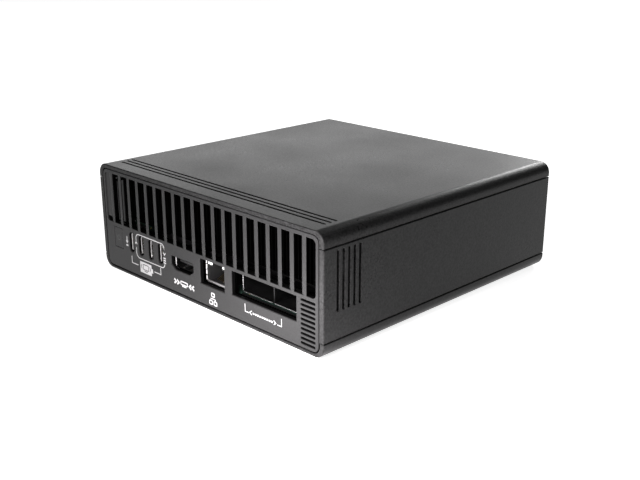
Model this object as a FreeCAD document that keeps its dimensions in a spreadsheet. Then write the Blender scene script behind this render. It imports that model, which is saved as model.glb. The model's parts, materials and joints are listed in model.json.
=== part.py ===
"""Square desktop mini PC: a four-part shell around a board, a twin-blower cooler and a rear port panel.

Frame: +Z up, the rear (port) face towards +Y, origin on the table under the body's middle, millimetres.
"""
import FreeCAD, Part
import math
import operator
import os
import Sketcher

Vector = FreeCAD.Vector
ALONG_Y = FreeCAD.Rotation(Vector(1, 0, 0), -90)   # turns a +Z axis to +Y
FLAT = FreeCAD.Rotation()
CORNERS = ((1, 1), (-1, 1), (1, -1), (-1, -1))     # signs of X and Y at the four corners

# ---------------------------------------------------------------------------------------------
# Driving dimensions: alias, value in mm (or a plain count), meaning
# ---------------------------------------------------------------------------------------------
DIMENSIONS = [
    # shell
    ("body_width", 150.0, "shell width"),
    ("body_depth", 150.0, "shell depth"),
    ("body_height", 51.3, "shell height without its feet"),
    ("foot_drop", 0.7, "feet below the underside"),
    ("shell_wall", 2.4, "side wall"),
    ("lid_wall", 1.7, "top wall"),
    ("base_wall", 1.35, "bottom wall"),
    ("top_radius", 4.8, "rounding of the long top edges"),
    ("base_radius", 5.2, "rounding of the long bottom edges"),
    ("upper_seam", 45.3, "height of the top cover's parting line"),
    ("lower_seam", 7.35, "height of the base's parting line"),
    ("seam_gap", 0.3, "gap in a parting line"),
    ("seam_bevel", 0.3, "bevel each side of a parting line"),
    ("end_bevel", 0.3, "bevel round the shell's two ends"),
    ("tongue_width", 1.1, "tongue that locates a side wall"),
    ("tongue_fit", 0.1, "clearance behind a tongue"),
    ("tongue_reach", 1.3, "tongue past its parting line"),
    ("tongue_root", 2.6, "tongue along its own cover"),
    ("tongue_length", 139.6, "length of a tongue"),
    ("groove_width", 1.25, "decorative groove in the top"),
    ("groove_depth", 1.0, "depth of the groove"),
    ("groove_length", 136.0, "length of the groove"),
    ("groove_first", 67.0, "rearmost groove from the middle"),
    ("groove_pitch", 3.0, "spacing of the grooves"),
    ("groove_count", 3, "number of grooves"),
    ("side_slot_width", 1.3, "side wall vent slot"),
    ("side_slot_height", 24.7, "height of the slot"),
    ("side_slot_base", 19.0, "foot of the slot above the table"),
    ("side_slot_first", 67.4, "rearmost slot from the middle"),
    ("side_slot_pitch", 3.05, "spacing of the slots"),
    ("side_slot_count", 5, "number of slots"),
    # inset end panels
    ("panel_width", 144.1, "rear and front panel width"),
    ("panel_base", 2.55, "panel foot above the table"),
    ("panel_top", 50.0, "panel top above the table"),
    ("panel_thickness", 2.0, "panel thickness"),
    ("panel_recess", 0.0, "panel face behind the shell's end"),
    ("panel_radius", 3.0, "panel corner"),
    ("panel_bevel", 0.25, "bevel round a panel"),
    ("grille_width", 141.4, "louvre opening"),
    ("grille_base", 24.6, "louvre opening foot, rear"),
    ("grille_top", 48.4, "louvre opening top"),
    ("grille_radius", 2.0, "louvre opening corner"),
    ("intake_base", 9.0, "louvre opening foot, front"),
    ("bar_pitch", 6.84, "spacing of the louvre bars"),
    ("bar_count", 20, "number of louvre bars"),
    ("bar_offset", 0.7, "row of bars from the middle, towards the power key"),
    ("bar_width", 2.7, "louvre bar"),
    ("bar_flat", 1.45, "flat front of the bar"),
    ("bar_drop", 0.4, "fall of the bar's sloping facet"),
    ("bar_depth", 1.7, "depth of the bar"),
    ("bar_root", 0.6, "bar end inside the panel"),
    ("blank_setback", 0.35, "plate that blanks the louvre beside the key, behind the panel's face"),
    ("blank_sheet", 1.2, "thickness of that plate"),
    ("blank_base", 27.0, "foot of that plate above the table"),
    ("port_bevel", 0.2, "bevel round a port's cut-out"),
    ("vent_width", 8.2, "small louvre slot beside the ports"),
    ("vent_height", 1.15, "height of the small slot"),
    ("vent_centre", -66.4, "middle of the small slots"),
    ("vent_first", 22.6, "topmost small slot above the table"),
    ("vent_pitch", 2.0, "spacing of the small slots"),
    ("vent_count", 10, "number of small slots"),
    # power key
    ("key_centre", 62.2, "power key from the middle"),
    ("key_level", 17.75, "power key above the table"),
    ("key_width", 6.4, "power key cap"),
    ("key_height", 9.8, "height of the cap"),
    ("key_gap", 0.15, "clearance round the cap"),
    ("key_flange", 0.9, "flange round the cap, behind the panel"),
    ("key_travel", 0.5, "travel of the power key"),
    ("stem_radius", 1.4, "stem behind the cap"),
    ("plunger_radius", 1.6, "moving plunger of the switch"),
    ("plunger_fit", 0.05, "radial clearance of the plunger"),
    ("plunger_end", 62.8, "inner end of the plunger from the middle"),
    ("plunger_tip", 66.5, "outer end of the plunger from the middle"),
    ("switch_width", 6.0, "switch case, square"),
    ("switch_back", 61.0, "back of the switch case from the middle"),
    ("switch_front", 64.5, "front of the switch case from the middle"),
    ("key_board_width", 13.0, "board that carries the switch"),
    ("key_board_height", 10.5, "height of that board"),
    ("key_board_sheet", 1.2, "thickness of that board"),
    # ports
    ("usb_first", 51.65, "leftmost upright USB-C port, seen from behind"),
    ("usb_pitch", 7.5, "spacing of the USB-C ports"),
    ("usb_count", 4, "number of USB-C ports"),
    ("usb_level", 17.8, "middle of the USB-C ports above the table"),
    ("usb_width", 3.26, "USB-C shell, short way"),
    ("usb_height", 8.94, "USB-C shell, long way"),
    ("usb_wall", 0.3, "USB-C shell wall"),
    ("usb_depth", 7.5, "USB-C shell depth"),
    ("usb_mouth", 73.5, "front of the USB-C shells from the middle"),
    ("usb_clear", 0.35, "cut-out clearance round the USB-C shell"),
    ("tongue_blade", 0.7, "USB-C tongue thickness"),
    ("tongue_blade_height", 6.65, "USB-C tongue height"),
    ("hdmi_centre", 12.95, "HDMI port from the middle"),
    ("hdmi_base", 13.2, "foot of the HDMI cut-out"),
    ("hdmi_top", 19.2, "top of the HDMI cut-out"),
    ("hdmi_shoulder", 15.2, "height at which its corners begin to slope"),
    ("hdmi_half", 8.05, "half width of the HDMI cut-out"),
    ("hdmi_half_base", 5.0, "half width at the foot of the cut-out"),
    ("hdmi_clear", 0.5, "cut-out clearance round the HDMI shell"),
    ("hdmi_wall", 0.35, "HDMI shell wall"),
    ("hdmi_mouth", 72.7, "front of the HDMI shell"),
    ("hdmi_depth", 11.1, "HDMI shell depth"),
    ("hdmi_slope_inset", 0.4, "share of an inset that its sloping corners move"),
    ("hdmi_blade", 1.0, "HDMI tongue thickness"),
    ("hdmi_blade_width", 11.3, "HDMI tongue width"),
    ("hdmi_blade_level", 16.15, "underside of the HDMI tongue above the table"),
    ("hdmi_blade_setback", 1.0, "HDMI tongue behind the shell's mouth"),
    ("lan_left", -16.15, "network port cut-out, low X side"),
    ("lan_right", 0.3, "network port cut-out, high X side"),
    ("lan_base", 11.8, "foot of the network cut-out"),
    ("lan_top", 23.1, "top of the network cut-out"),
    ("lan_centre", -7.9, "middle of the network jack"),
    ("lan_width", 13.2, "network jack width"),
    ("lan_height", 11.2, "network jack height"),
    ("lan_depth", 21.0, "network jack depth"),
    ("lan_mouth", 72.1, "front of the network jack"),
    ("lan_wall", 0.3, "network jack shell"),
    ("plug_width", 11.8, "network plug cavity"),
    ("plug_base", 12.9, "floor of the plug cavity"),
    ("plug_top", 19.8, "top of the plug cavity"),
    ("plug_depth", 15.0, "depth of the plug cavity"),
    ("latch_width", 6.1, "latch notch over the plug cavity"),
    ("latch_top", 22.4, "top of the latch notch"),
    ("light_height", 2.0, "network jack light"),
    ("light_depth", 6.0, "length of the light pipe"),
    ("bay_centre", -40.75, "middle of the twin optical cage"),
    ("bay_width", 18.5, "one cage bay inside"),
    ("bay_height", 8.8, "cage bay height inside"),
    ("cage_wall", 0.3, "cage sheet"),
    ("cage_divider", 0.6, "wall between the two bays"),
    ("cage_base", 12.6, "underside of the cage"),
    ("cage_mouth", 69.1, "front of the cage from the middle"),
    ("cage_depth", 48.0, "cage depth"),
    ("cage_overhang", 1.0, "cage past the strips it stands on"),
    ("bay_plug_width", 15.7, "connector at the end of a bay"),
    ("bay_plug_depth", 8.0, "length of the connector"),
    ("bay_plug_height", 6.2, "height of the connector"),
    ("bay_slot_width", 13.0, "card slot in the connector"),
    ("bay_slot_height", 1.4, "height of the slot"),
    ("bay_slot_level", 2.6, "slot above the bay's floor"),
    ("bay_cut_centre", -40.4, "middle of the cut-out for the cage"),
    ("bay_cut_width", 39.0, "cut-out for the cage"),
    ("bay_cut_base", 12.45, "foot of the cage cut-out"),
    ("bay_cut_top", 23.1, "top of the cage cut-out"),
    # sheet metal inside
    ("shield_front", 71.7, "outer face of the port shield"),
    ("shield_thickness", 0.8, "port shield sheet"),
    ("shield_width", 144.4, "port shield width"),
    ("shield_base", 2.6, "foot of the port shield"),
    ("shield_top", 50.1, "top of the port shield"),
    ("shield_clear", 0.5, "port shield window past the panel's"),
    ("tray_width", 142.2, "chassis tray width"),
    ("tray_length", 139.6, "chassis tray length"),
    ("tray_base", 3.5, "underside of the tray"),
    ("tray_sheet", 0.8, "tray sheet"),
    ("tray_top", 43.6, "top of the tray's side flanges"),
    ("tray_bend", 1.2, "outside bend of the tray"),
    # feet and base fasteners
    ("foot_radius", 7.0, "rubber foot"),
    ("foot_height", 1.5, "rubber foot height"),
    ("foot_round", 0.4, "rounding of the foot's rim"),
    ("foot_inset_x", 59.0, "foot from the middle, across"),
    ("foot_inset_y", 58.0, "foot from the middle, along"),
    ("base_screw_x", 42.0, "base screw from the middle, across"),
    ("base_screw_y", 62.0, "base screw from the middle, along"),
    ("screw_radius", 1.25, "M2.5 thread"),
    ("head_radius", 2.4, "screw head"),
    ("head_height", 1.3, "screw head height"),
    ("socket_radius", 1.0, "six-lobe recess, as a round"),
    ("socket_depth", 0.8, "depth of the recess"),
    ("boss_radius", 3.96, "boss round a base screw"),
    ("base_vent_length", 34.0, "intake slot in the base"),
    ("base_vent_width", 2.2, "width of the intake slot"),
    ("base_vent_pitch", 4.6, "spacing of the intake slots"),
    ("base_vent_count", 17, "intake slots in a row"),
    ("base_vent_row", 21.0, "row of intake slots from the middle"),
    # board
    ("board_width", 139.0, "main board width"),
    ("board_front", -52.0, "front edge of the main board"),
    ("board_rear", 69.8, "rear edge of the main board"),
    ("board_base", 10.6, "underside of the main board"),
    ("board_sheet", 1.6, "main board thickness"),
    ("post_radius", 2.6, "board stand-off"),
    ("card_post", 2.8, "stand-off height under a card"),
    ("chip_package", 40.0, "processor package, square"),
    ("package_sheet", 1.4, "processor package thickness"),
    ("lid_width", 30.0, "processor lid, square"),
    ("lid_sheet", 1.0, "processor lid thickness"),
    ("processor_x", 8.0, "processor middle, across"),
    ("processor_y", -8.0, "processor middle, along"),
    ("memory_width", 12.4, "memory package"),
    ("memory_length", 14.0, "memory package length"),
    ("memory_sheet", 1.0, "memory package thickness"),
    ("memory_offset", 29.0, "memory row from the processor"),
    ("memory_pitch", 13.4, "spacing of the memory packages"),
    ("memory_count", 4, "memory packages in a row"),
    ("network_x", -7.5, "network controller middle, across"),
    ("network_y", 39.5, "network controller middle, along"),
    ("network_width", 21.0, "network controller package"),
    ("network_sheet", 2.2, "network controller thickness"),
    ("choke_width", 7.0, "power choke, square"),
    ("choke_height", 4.2, "power choke height"),
    ("choke_pitch", 9.0, "spacing of the chokes"),
    ("choke_columns", 10.0, "spacing of the two columns of chokes"),
    ("choke_count", 6, "chokes in a column"),
    ("choke_x", 46.0, "first choke, across"),
    ("choke_y", 4.0, "first choke, along"),
    ("battery_radius", 10.0, "clock battery"),
    ("battery_height", 3.2, "clock battery height"),
    ("battery_x", -48.0, "clock battery middle, across"),
    ("battery_y", 5.0, "clock battery middle, along"),
    ("card_width", 22.0, "storage or radio card"),
    ("card_sheet", 0.8, "card board thickness"),
    ("card_setback", 2.0, "card screw from the card's free end"),
    ("storage_x", 47.0, "storage card middle, across"),
    ("storage_front", -48.0, "free end of the storage card"),
    ("storage_length", 42.0, "storage card length"),
    ("radio_x", -49.0, "radio card middle, across"),
    ("radio_front", -48.0, "free end of the radio card"),
    ("radio_length", 30.0, "radio card length"),
    ("card_part", 1.3, "height of the parts on a card"),
    ("connector_length", 5.0, "card connector"),
    ("connector_height", 4.4, "card connector height"),
    ("antenna_width", 30.0, "antenna strip"),
    ("antenna_height", 5.0, "antenna strip height"),
    ("antenna_sheet", 0.8, "antenna strip thickness"),
    ("antenna_x", 51.0, "antenna from the middle"),
    ("antenna_base", 4.0, "antenna foot above the table"),
    ("lead_radius", 0.6, "antenna lead"),
    # cooler
    ("cold_width", 56.0, "cold plate, square"),
    ("cold_sheet", 3.0, "cold plate thickness"),
    ("cold_top", 22.6, "top of the cold plate"),
    ("cooler_screw_x", 25.0, "cooler screw from the processor's middle, across"),
    ("cooler_screw_y", 12.0, "cooler screw from the processor's middle, along"),
    ("pipe_width", 8.0, "flattened heat pipe"),
    ("pipe_height", 2.4, "height of the heat pipe"),
    ("pipe_spacing", 16.0, "heat pipes at the cold plate"),
    ("pipe_front", -30.0, "front end of the heat pipes"),
    ("pipe_rear", 66.0, "rear end of the heat pipes"),
    ("pipe_straight", 40.0, "straight front run of an outer heat pipe"),
    ("pipe_end", 24.0, "straight rear run of an outer heat pipe"),
    ("pipe_spread", 40.0, "outer heat pipes at the fins, from the middle"),
    ("fin_width", 134.0, "fin stack width"),
    ("fin_front", 47.0, "front of the fin stack"),
    ("fin_rear", 67.0, "rear of the fin stack"),
    ("fin_top", 47.4, "top of the fin stack"),
    ("fin_sheet", 0.4, "one fin"),
    ("fin_plate", 0.8, "plates that close the fin stack"),
    ("fin_pitch", 2.2, "spacing of the fins"),
    ("fin_count", 61, "number of fins"),
    ("fan_x", 34.5, "blower axis from the middle, across"),
    ("fan_y", 8.0, "blower axis, along"),
    ("fan_width", 66.0, "blower housing width"),
    ("fan_front", -26.0, "front of the blower housing"),
    ("fan_base", 26.2, "underside of the blower housing"),
    ("fan_top", 45.8, "top of the blower housing"),
    ("fan_wall", 1.0, "blower floor and cover"),
    ("scroll_radius", 31.0, "inside of the blower housing"),
    ("intake_radius", 21.0, "blower intake"),
    ("bush_radius", 3.0, "bearing bush outside"),
    ("bush_height", 12.5, "bearing bush height"),
    ("shaft_radius", 1.0, "rotor shaft"),
    ("shaft_fit", 0.05, "radial running clearance of the shaft"),
    ("stator_radius", 8.5, "motor stator"),
    ("stator_height", 7.5, "motor stator height"),
    ("cup_radius", 11.0, "rotor cup outside"),
    ("cup_wall", 1.4, "rotor cup wall"),
    ("cup_base", 29.6, "foot of the rotor cup"),
    ("cup_top", 42.4, "top of the rotor cup"),
    ("blade_base", 31.5, "foot of the blades"),
    ("blade_top", 44.0, "top of the blades"),
    ("blade_tip", 28.0, "blade tip radius"),
    ("blade_sheet", 0.7, "blade thickness"),
    ("blade_lean", 7.0, "sideways reach of a blade at its tip"),
    ("blade_count", 25, "blades on a rotor"),
    ("leg_width", 3.0, "blower leg"),
    ("leg_length", 6.0, "blower leg along"),
]

doc = FreeCAD.newDocument("mini_pc")
sheet = doc.addObject("Spreadsheet::Sheet", "Sizes")
for row, (alias, amount, meaning) in enumerate(DIMENSIONS, 1):
    sheet.set(f"A{row}", meaning)
    sheet.set(f"B{row}", str(amount))
    sheet.setAlias(f"B{row}", alias)
doc.recompute()

# ---------------------------------------------------------------------------------------------
# Sizes that carry their own sheet formula
# ---------------------------------------------------------------------------------------------
OPERATIONS = {"+": operator.add, "-": operator.sub, "*": operator.mul, "/": operator.truediv}


class Size:
    """A number and the sheet formula that gives it, so one sum in Python makes both."""

    def __init__(self, value, formula):
        self.value = value
        self.formula = formula

    def __add__(self, other):
        return combine(self, "+", other)

    def __radd__(self, other):
        return combine(other, "+", self)

    def __sub__(self, other):
        return combine(self, "-", other)

    def __rsub__(self, other):
        return combine(other, "-", self)

    def __mul__(self, other):
        return combine(self, "*", other)

    def __rmul__(self, other):
        return combine(other, "*", self)

    def __truediv__(self, other):
        return combine(self, "/", other)

    def __neg__(self):
        return combine(0, "-", self)


def as_size(item):
    """Wraps a plain number as a Size."""
    return item if isinstance(item, Size) else Size(item, f"({item!r})")


def combine(first, sign, second):
    """One arithmetic step on two sizes."""
    first, second = as_size(first), as_size(second)
    value = OPERATIONS[sign](first.value, second.value)
    return Size(value, f"({first.formula} {sign} {second.formula})")


class Dimensions:
    """Every alias of the sheet as a Size, such as D.body_width."""


D = Dimensions()
for alias, amount, meaning in DIMENSIONS:
    setattr(D, alias, Size(amount, "Sizes." + alias))


def bind(item, path, size):
    """Ties one property of an object to a size."""
    item.setExpression(path, as_size(size).formula)


# Levels and faces that many parts share
body_top = D.foot_drop + D.body_height
half_width = D.body_width / 2
half_depth = D.body_depth / 2
panel_face = half_depth - D.panel_recess
panel_back = panel_face - D.panel_thickness
board_top = D.board_base + D.board_sheet
package_top = board_top + D.package_sheet
lid_top = package_top + D.lid_sheet
pipe_top = D.cold_top + D.pipe_height
tray_floor = D.tray_base + D.tray_sheet
sub_parts = []


def keep(item, label):
    """Names a finished sub-part."""
    item.Label = label
    sub_parts.append(item)
    return item


# ---------------------------------------------------------------------------------------------
# Part primitives and booleans
# ---------------------------------------------------------------------------------------------
def place(item, position, rotation=FLAT):
    """Puts an object at a position tied to the sheet."""
    item.Placement = FreeCAD.Placement(Vector(), rotation)
    for axis, size in zip("xyz", position):
        bind(item, "Placement.Base." + axis, size)
    return item


def box(name, low, high):
    """A box between two corners."""
    item = doc.addObject("Part::Box", name)
    for edge, start, end in zip(("Length", "Width", "Height"), low, high):
        bind(item, edge, as_size(end) - start)
    return place(item, low)


def centred_box(name, middle, width, length, base, height):
    """A box by its middle in plan, its two plan sizes, its foot and its height."""
    x, y = middle
    low = (x - width / 2, y - length / 2, base)
    high = (x + width / 2, y + length / 2, base + height)
    return box(name, low, high)


def cylinder(name, radius, height, position, rotation=FLAT):
    """A cylinder that rises along its own axis from a position."""
    item = doc.addObject("Part::Cylinder", name)
    bind(item, "Radius", radius)
    bind(item, "Height", height)
    return place(item, position, rotation)


def fused(name, pieces):
    """One solid of several touching ones."""
    item = doc.addObject("Part::MultiFuse", name)
    item.Shapes = pieces
    item.Refine = True
    return item


def cut(name, base, tools):
    """A solid less one or more others."""
    item = doc.addObject("Part::Cut", name)
    item.Base = base
    item.Tool = tools[0] if len(tools) == 1 else grouped(name + "_tools", tools)
    return item


def grouped(name, pieces):
    """Separate solids that share one node."""
    item = doc.addObject("Part::Compound", name)
    item.Links = pieces
    return item


# ---------------------------------------------------------------------------------------------
# PartDesign bodies
# ---------------------------------------------------------------------------------------------
class Design:
    """A PartDesign body with short calls for the features that this object needs."""

    def __init__(self, label):
        self.body = doc.addObject("PartDesign::Body", label)
        self.number = 0

    def origin(self, role):
        """One of the body's own origin planes or axes."""
        return next(item for item in self.body.Origin.OriginFeatures if item.Role == role)

    def add(self, kind):
        """A new feature in the body."""
        self.number += 1
        return self.body.newObject(kind, f"{self.body.Name}_{kind.split('::')[1]}_{self.number}")

    def sketch(self, role, offset=0):
        """A sketch on an origin plane, moved along the plane's normal."""
        item = self.add("Sketcher::SketchObject")
        item.AttachmentSupport = [(self.origin(role), "")]
        item.MapMode = "FlatFace"
        bind(item, "AttachmentOffset.Base.z", offset)
        return item

    def extrude(self, kind, sketch, length, symmetric=False, backwards=False):
        """A pad or a pocket of a sketch."""
        item = self.add("PartDesign::" + kind)
        item.Profile = sketch
        item.SideType = "Symmetric" if symmetric else "One side"
        item.Reversed = backwards
        bind(item, "Length", length)
        return item

    def pad(self, sketch, length, **options):
        return self.extrude("Pad", sketch, length, **options)

    def pocket(self, sketch, length, **options):
        return self.extrude("Pocket", sketch, length, **options)

    def row(self, feature, role, pitch, count, backwards=False):
        """Repeats a feature along an origin axis."""
        item = self.add("PartDesign::LinearPattern")
        item.Originals = [feature]
        item.Direction = (self.origin(role), [""])
        item.Reversed = backwards
        item.Mode = "Spacing"
        bind(item, "Offset", pitch)
        bind(item, "Occurrences", count)
        self.body.Tip = item
        return item

    def ring(self, feature, role, count):
        """Repeats a feature round an origin axis."""
        item = self.add("PartDesign::PolarPattern")
        item.Originals = [feature]
        item.Axis = (self.origin(role), [""])
        bind(item, "Occurrences", count)
        self.body.Tip = item
        return item

    def dress(self, kind, size, test):
        """A fillet or chamfer on the edges that pass a test."""
        doc.recompute()
        base = self.body.Tip
        names = [f"Edge{number}" for number, edge in enumerate(base.Shape.Edges, 1) if test(edge)]
        if not names:
            raise ValueError(f"{self.body.Name}: no edge for {kind}")
        item = self.add("PartDesign::" + kind)
        item.Base = (base, names)
        bind(item, "Radius" if kind == "Fillet" else "Size", size)
        self.body.Tip = item
        return item

    def finish(self):
        """Ends the body as a sub-part named after it."""
        return keep(self.body, self.body.Name)


def pin(sketch, geometry, point, u, v):
    """Fixes a point of a sketch by its two distances from the sketch's origin."""
    for kind, size in (("DistanceX", as_size(u)), ("DistanceY", as_size(v))):
        number = sketch.addConstraint(Sketcher.Constraint(kind, -1, 1, geometry, point, size.value))
        bind(sketch, f"Constraints[{number}]", size)


def polygon(sketch, points):
    """A closed outline of straight lines."""
    first = sketch.GeometryCount
    count = len(points)
    corners = [Vector(as_size(u).value, as_size(v).value, 0) for u, v in points]
    for start, end in zip(corners, corners[1:] + corners[:1]):
        sketch.addGeometry(Part.LineSegment(start, end), False)
    for index in range(count):
        following = first + (index + 1) % count
        sketch.addConstraint(Sketcher.Constraint("Coincident", first + index, 2, following, 1))
    for index, (u, v) in enumerate(points):
        pin(sketch, first + index, 1, u, v)


def rectangle(sketch, left, right, low, high):
    """A closed rectangle between two pairs of sides."""
    polygon(sketch, [(left, low), (right, low), (right, high), (left, high)])


def circle(sketch, u, v, radius):
    """A circle tied to the sheet."""
    radius = as_size(radius)
    centre = Vector(as_size(u).value, as_size(v).value, 0)
    number = sketch.addGeometry(Part.Circle(centre, Vector(0, 0, 1), radius.value), False)
    pin(sketch, number, 3, u, v)
    limit = sketch.addConstraint(Sketcher.Constraint("Radius", number, radius.value))
    bind(sketch, f"Constraints[{limit}]", radius)


def stadium(sketch, u, v, width, height):
    """A slot with full round ends, its long way along whichever size is larger."""
    u, v, width, height = (as_size(item) for item in (u, v, width, height))
    upright = height.value > width.value
    radius = (width if upright else height) / 2
    reach = (height if upright else width) / 2 - radius
    ends = [(u, v - reach), (u, v + reach)] if upright else [(u - reach, v), (u + reach, v)]
    turn = 0.0 if upright else -math.pi / 2
    first = sketch.GeometryCount
    arcs = []
    for (end_u, end_v), start in zip(ends, (turn + math.pi, turn)):
        round_end = Part.Circle(Vector(end_u.value, end_v.value, 0), Vector(0, 0, 1), radius.value)
        arcs.append(Part.ArcOfCircle(round_end, start, start + math.pi))
        sketch.addGeometry(arcs[-1], False)
    sketch.addGeometry(Part.LineSegment(arcs[0].EndPoint, arcs[1].StartPoint), False)
    sketch.addGeometry(Part.LineSegment(arcs[1].EndPoint, arcs[0].StartPoint), False)
    joints = ((0, 2, 2, 1), (2, 2, 1, 1), (1, 2, 3, 1), (3, 2, 0, 1))
    for one, one_end, other, other_end in joints:
        sketch.addConstraint(Sketcher.Constraint("Tangent", first + one, one_end, first + other, other_end))
    for index, (end_u, end_v) in enumerate(ends):
        pin(sketch, first + index, 3, end_u, end_v)
    number = sketch.addConstraint(Sketcher.Constraint("Radius", first, radius.value))
    bind(sketch, f"Constraints[{number}]", radius)


# Tests that pick edges by where they lie
def runs_along(edge, axis):
    """True for a straight edge parallel to an axis, 0, 1 or 2 for X, Y or Z."""
    if not isinstance(edge.Curve, Part.Line):
        return False
    return abs(abs(edge.Curve.Direction[axis]) - 1) < 1e-6


def lies_at(edge, axis, level, slack=1e-4):
    """True when a whole edge lies in the plane at a level along an axis."""
    points = [edge.valueAt(edge.FirstParameter), edge.valueAt(edge.LastParameter)]
    middle = edge.valueAt((edge.FirstParameter + edge.LastParameter) / 2)
    return all(abs(point[axis] - level) < slack for point in points + [middle])


def middle_of(edge):
    """The point halfway along an edge."""
    return edge.valueAt((edge.FirstParameter + edge.LastParameter) / 2)


# ---------------------------------------------------------------------------------------------
# Outer shell
# ---------------------------------------------------------------------------------------------
def on_shell_end(edge):
    """True for an edge of the shell's outer outline at its front or rear end."""
    point = middle_of(edge)
    if abs(abs(point.y) - half_depth.value) > 1e-4 or not lies_at(edge, 1, point.y):
        return False
    wall = D.shell_wall.value / 2
    across = half_width.value - abs(point.x) < wall
    upright = min(body_top.value - point.z, point.z - D.foot_drop.value) < wall
    is_long = edge.BoundBox.DiagonalLength > 4 * D.seam_bevel.value
    corner = edge.Curve.TypeId == "Part::GeomCircle" and edge.Curve.Radius > D.top_radius.value - 1
    straight = edge.Curve.TypeId == "Part::GeomLine" and (across or upright)
    return corner or (straight and is_long)


def long_edges(x_level, z_level):
    """A test for the two edges along Y at plus and minus one X and at one Z."""
    def test(edge):
        point = middle_of(edge)
        near = abs(abs(point.x) - x_level.value) < 1e-4 and abs(point.z - z_level.value) < 1e-4
        return near and runs_along(edge, 1)
    return test


def cover_body(label, seam, closed, wall, radius, direction):
    """A shallow channel along Y that closes the shell above (+1) or below (-1) a parting line."""
    cover = Design(label)
    lip = seam + direction * (D.seam_gap / 2)
    inner = half_width - D.shell_wall
    bevel = direction * D.seam_bevel
    profile = cover.sketch("XZ_Plane")
    polygon(profile, [
        (-half_width, lip + bevel), (-half_width, closed), (half_width, closed), (half_width, lip + bevel),
        (half_width - D.seam_bevel, lip), (inner, lip), (inner, closed - direction * wall),
        (-inner, closed - direction * wall), (-inner, lip), (-(half_width - D.seam_bevel), lip)])
    cover.pad(profile, D.body_depth, symmetric=True)
    cover.dress("Fillet", radius, long_edges(half_width, closed))
    cover.dress("Fillet", radius - wall, long_edges(inner, closed - direction * wall))
    tongues = cover.sketch("XZ_Plane")
    outer = inner - D.tongue_fit
    step = lip + direction * 2 * D.tongue_fit
    for side in (1, -1):
        polygon(tongues, [
            (side * (outer - D.tongue_width), lip - direction * D.tongue_reach),
            (side * outer, lip - direction * D.tongue_reach),
            (side * outer, step),
            (side * (inner + D.tongue_fit), step),
            (side * (inner + D.tongue_fit), lip + direction * D.tongue_root),
            (side * (outer - D.tongue_width), lip + direction * D.tongue_root)])
    cover.pad(tongues, D.tongue_length, symmetric=True)
    cover.dress("Chamfer", D.end_bevel, on_shell_end)
    return cover


def make_top_cover():
    """The lid, with three fine grooves across its rear."""
    cover = cover_body("top_cover", D.upper_seam, body_top, D.lid_wall, D.top_radius, 1)
    groove = cover.sketch("XY_Plane", body_top)
    stadium(groove, 0, D.groove_first, D.groove_length, D.groove_width)
    first = cover.pocket(groove, D.groove_depth)
    cover.row(first, "Y_Axis", D.groove_pitch, D.groove_count, backwards=True)
    cover.finish()


def make_bottom_cover():
    """The base, with intake slots, foot recesses and countersunk screw bosses."""
    cover = cover_body("bottom_cover", D.lower_seam, D.foot_drop, D.base_wall, D.base_radius, -1)
    first_slot = D.base_vent_pitch * (D.base_vent_count - 1) / 2
    for row_y in (D.base_vent_row, -D.base_vent_row):
        slot = cover.sketch("XY_Plane", D.foot_drop)
        stadium(slot, -first_slot, row_y, D.base_vent_width, D.base_vent_length)
        first = cover.pocket(slot, D.base_wall, backwards=True)
        cover.row(first, "X_Axis", D.base_vent_pitch, D.base_vent_count)
    bosses = cover.sketch("XY_Plane", D.foot_drop + D.base_wall / 2)
    recesses = cover.sketch("XY_Plane", D.foot_drop)
    heads = cover.sketch("XY_Plane", D.foot_drop)
    shanks = cover.sketch("XY_Plane", D.foot_drop)
    for x, y in CORNERS:
        screw = (x * D.base_screw_x, y * D.base_screw_y)
        circle(bosses, *screw, D.boss_radius)
        circle(heads, *screw, D.head_radius + 2 * D.tongue_fit)
        circle(shanks, *screw, D.screw_radius)
        circle(recesses, x * D.foot_inset_x, y * D.foot_inset_y, D.foot_radius + D.tongue_fit)
    cover.pad(bosses, D.tray_base - D.foot_drop - D.base_wall / 2)
    cover.pocket(recesses, D.foot_height - D.foot_drop, backwards=True)
    cover.pocket(heads, D.head_height + D.tongue_fit, backwards=True)
    cover.pocket(shanks, D.tray_base, backwards=True)
    cover.finish()


def make_side_wall(label, side):
    """A flat side wall with a group of upright vent slots near the rear."""
    wall = Design(label)
    low = D.lower_seam + D.seam_gap / 2
    high = D.upper_seam - D.seam_gap / 2
    profile = wall.sketch("XZ_Plane")
    polygon(profile, [
        (side * (half_width - D.shell_wall), low), (side * (half_width - D.seam_bevel), low),
        (side * half_width, low + D.seam_bevel), (side * half_width, high - D.seam_bevel),
        (side * (half_width - D.seam_bevel), high), (side * (half_width - D.shell_wall), high)])
    wall.pad(profile, D.body_depth, symmetric=True)
    wall.dress("Chamfer", D.end_bevel, on_shell_end)
    slot = wall.sketch("YZ_Plane", side * half_width)
    middle = D.side_slot_base + D.side_slot_height / 2
    stadium(slot, D.side_slot_first, middle, D.side_slot_width, D.side_slot_height)
    first = wall.pocket(slot, D.shell_wall, backwards=side < 0)
    wall.row(first, "Y_Axis", D.side_slot_pitch, D.side_slot_count, backwards=True)

    def slot_rim(edge):
        point = middle_of(edge)
        inside = point.y > half_depth.value / 2 and half_depth.value - point.y > 2 * D.end_bevel.value
        between = D.lower_seam.value + 1 < point.z < D.upper_seam.value - 1
        return inside and between and lies_at(edge, 0, side * half_width.value)
    wall.dress("Chamfer", D.port_bevel, slot_rim)
    wall.finish()


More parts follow.
